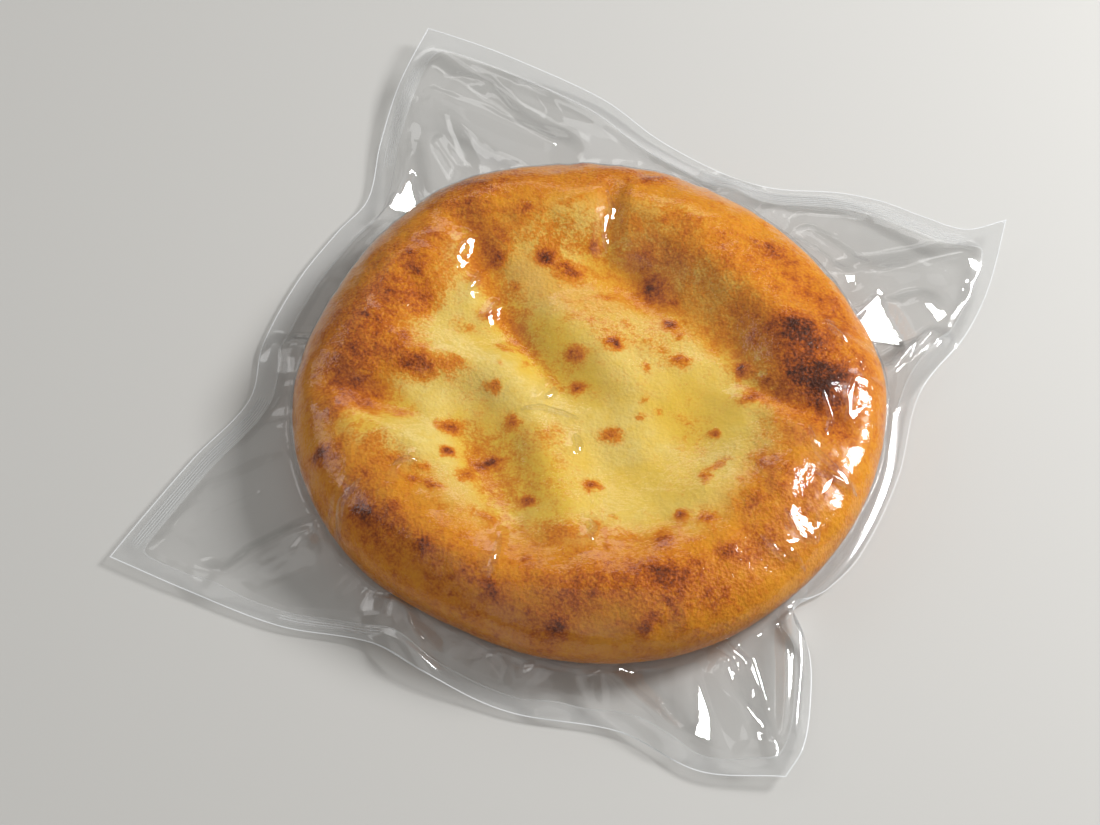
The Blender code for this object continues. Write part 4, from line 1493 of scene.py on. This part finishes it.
    def build_front(self) -> bpy.types.Object:
        """Model the film that clings to the crust and covers the flange.

        Returns:
            The piece.
        """
        grid = RoundGrid(self.cells)
        edge = self.outline()
        azimuth = self.azimuths(edge)
        stations = np.append(np.arange(len(edge)) / self.cells, 4.0)
        directions = np.interp(grid.turn, stations, np.append(azimuth, azimuth[0] + 2 * math.pi))
        crust = self.bread.top_points(directions, grid.reach, hollow_share=0.7)
        normals = point_normals(crust, grid.quads)
        x = crust[:, 0] / MM
        y = crust[:, 1] / MM
        lift = self.cling + self.bread.soft_texture(crust)
        lift = lift + (crease_height(CLINGING_CREASES, x, y) + self.tented(x, y)) * MM
        crust = crust + normals * lift[:, None]
        girth = crust[grid.rim]
        root = self.bread.lower_ring(azimuth, self.wall_turn(), self.bread.base_height)[:, :2]
        run = edge - girth[:, :2]
        reach = np.linalg.norm(run, axis=1)
        start_share = np.minimum(self.skirt_reach, 0.35 * reach) / reach
        start = girth[:, :2] + run * start_share[:, None]
        flange = self.flange(root, start, edge, self.flange_rings)
        marks = self.marks(flange)
        flange[:, 2] += self.crumple(flange, marks)
        self.pull_taut(flange, 0.0)
        foot = flange[:len(edge)]
        corner = np.column_stack([girth[:, :2] + (foot[:, :2] - girth[:, :2]) * 0.1, foot[:, 2]])
        skirt = []
        for step in range(1, self.skirt_rings):
            t = step / self.skirt_rings
            skirt.append(girth * (1 - t) ** 2 + corner * 2 * t * (1 - t) + foot * t * t)
        sheet = np.concatenate([crust, *skirt, flange])
        folds, fold_faces = self.pinched_folds(crust)
        points = np.concatenate([sheet, folds])
        marks = self.padded(marks, len(sheet) - len(flange), len(folds))
        marks["clinging"] = np.zeros(len(points))
        marks["clinging"][:len(crust)] = self.clinging(crust)
        faces = grid.all_quads(self.skirt_rings + self.flange_rings).tolist()
        faces += (np.array(fold_faces) + len(sheet)).tolist()
        return mesh_piece("pouch_front_film", points, faces, marks)

    def build_back(self) -> bpy.types.Object:
        """Model the film under the bread and under the flange.

        Returns:
            The piece.
        """
        edge = self.outline()
        azimuth = self.azimuths(edge)
        count = len(edge)
        clearance = self.bread.base_height - self.layer_gap
        wall = []
        for step in range(self.back_wall_rings + 1):
            turn = 1.0 - (1.0 - self.wall_turn()) * step / self.back_wall_rings
            wall.append(self.bread.lower_ring(azimuth, turn, clearance))
        wall[0][:, 2] = self.floor_height
        root = wall[-1][:, :2]
        flange = self.flange(root, root, edge, self.back_flange_rings)[count:]
        marks = self.marks(flange)
        opening = smooth_step((marks["weld"] - 1.0) / 2.0)
        flange[:, 2] += self.back_crumple * self.crumple(flange, marks) - self.layer_gap
        flange[:, 2] -= self.open_gap * opening
        self.pull_taut(flange, self.taut_gap)
        flange[:, 2] = np.maximum(flange[:, 2], self.lowest_back)
        points = np.concatenate([*wall, flange, [[0.0, 0.0, self.floor_height]]])
        middle = len(points) - 1
        rings = np.arange(middle).reshape(-1, count)
        faces = []
        for inner, outer in zip(rings, rings[1:]):
            quads = np.stack([outer, inner, np.roll(inner, -1), np.roll(outer, -1)], axis=1)
            faces += quads.tolist()
        floor = rings[0].tolist()
        faces += [[a, middle, b] for a, b in zip(floor, floor[1:] + floor[:1])]
        marks = self.padded(marks, len(wall) * count, 1)
        return mesh_piece("pouch_back_film", points, faces, marks)

    def mark_band(self, film: bpy.types.Object) -> None:
        """Give the faces of the seal band their own material.

        Args:
            film: the film, which has its weld marked.
        """
        weld = film.data.attributes["weld"].data
        for face in film.data.polygons:
            nearest = min(weld[point].value for point in face.vertices)
            face.material_index = 1 if nearest < self.band_reach else 0

    def dress(self) -> None:
        """Build both films and set them in the frame."""
        for film in (self.build_front(), self.build_back()):
            self.mark_band(film)
            place_piece(film, "vacuum_pouch", [self.film, self.band])


@dataclass
class Studio:
    """A pale floor, soft light and the photograph's viewing angle."""

    floor_side: float = 8.0
    floor_colour: str = "#C6C5C2"
    floor_roughness: float = 0.85
    world_colour: str = "#F6F3EC"
    world_strength: float = 0.22
    lens: float = 70.0  # mm
    elevation: float = 55.1  # degrees
    distance: float = 0.882  # from the target to the camera
    target: tuple[float, float, float] = (-0.0153, 0.0014, 0.0)

    def light(
        self, name: str, direction: Sequence[float], distance: float,
        size: tuple[float, float], power: float,
    ) -> None:
        """Hang a soft rectangular light that faces the bread.

        Args:
            name: its name.
            direction: where it hangs, seen from the bread.
            distance: how far off, in metres.
            size: its width and height in metres.
            power: its power in watts.
        """
        lamp = bpy.data.lights.new(name, "AREA")
        lamp.shape = "RECTANGLE"
        lamp.size, lamp.size_y = size
        lamp.energy = power
        stand = bpy.data.objects.new(name, lamp)
        away = Vector(direction).normalized()
        stand.location = away * distance
        stand.rotation_euler = away.to_track_quat("Z", "Y").to_euler()
        bpy.context.scene.collection.objects.link(stand)

    def build(self) -> None:
        """Lay the floor, hang the lights and set the camera."""
        half = self.floor_side / 2.0
        corners = np.array([[-half, -half, 0], [half, -half, 0], [half, half, 0], [-half, half, 0]])
        floor = mesh_piece("studio_floor", corners, [[0, 1, 2, 3]], {})
        paint = bpy.data.materials.new("matt studio floor")
        paint.use_nodes = True
        shader = paint.node_tree.nodes["Principled BSDF"]
        shader.inputs["Base Color"].default_value = linear(self.floor_colour)
        shader.inputs["Roughness"].default_value = self.floor_roughness
        floor.data.materials.append(paint)
        self.light("key softbox", (0.75, 0.26, 0.62), 1.5, (0.42, 0.42), 25.5)
        self.light("left softbox", (-0.80, 0.30, 0.50), 1.7, (0.80, 0.80), 2.5)
        self.light("back softbox", (0.0, 0.82, 0.57), 1.9, (1.10, 0.36), 1.7)
        self.light("front fill", (-0.10, -0.66, 0.74), 1.8, (2.4, 2.4), 6.5)
        self.light("ceiling", (-0.45, 0.35, 0.82), 3.0, (3.2, 3.2), 6.0)
        scene = bpy.context.scene
        world = bpy.data.worlds.new("pale studio")
        world.use_nodes = True
        background = world.node_tree.nodes["Background"]
        background.inputs["Color"].default_value = linear(self.world_colour)
        background.inputs["Strength"].default_value = self.world_strength
        scene.world = world
        scene.view_settings.view_transform = "Standard"
        camera = bpy.data.cameras.new("camera")
        camera.lens = self.lens
        holder = bpy.data.objects.new("camera", camera)
        tilt = math.radians(self.elevation)
        back = Vector((0.0, -math.cos(tilt), math.sin(tilt)))
        holder.location = Vector(self.target) + back * self.distance
        holder.rotation_euler = (math.pi / 2.0 - tilt, 0.0, 0.0)
        scene.collection.objects.link(holder)
        scene.camera = holder


def main() -> None:
    """Build the bread, the pouch and the studio."""
    logging.basicConfig(level=logging.INFO, format="%(message)s")
    bread = Khachapuri()
    bread.dress()
    VacuumPouch(bread).dress()
    Studio().build()
    bpy.context.view_layer.update()


if __name__ == "__main__":
    main()
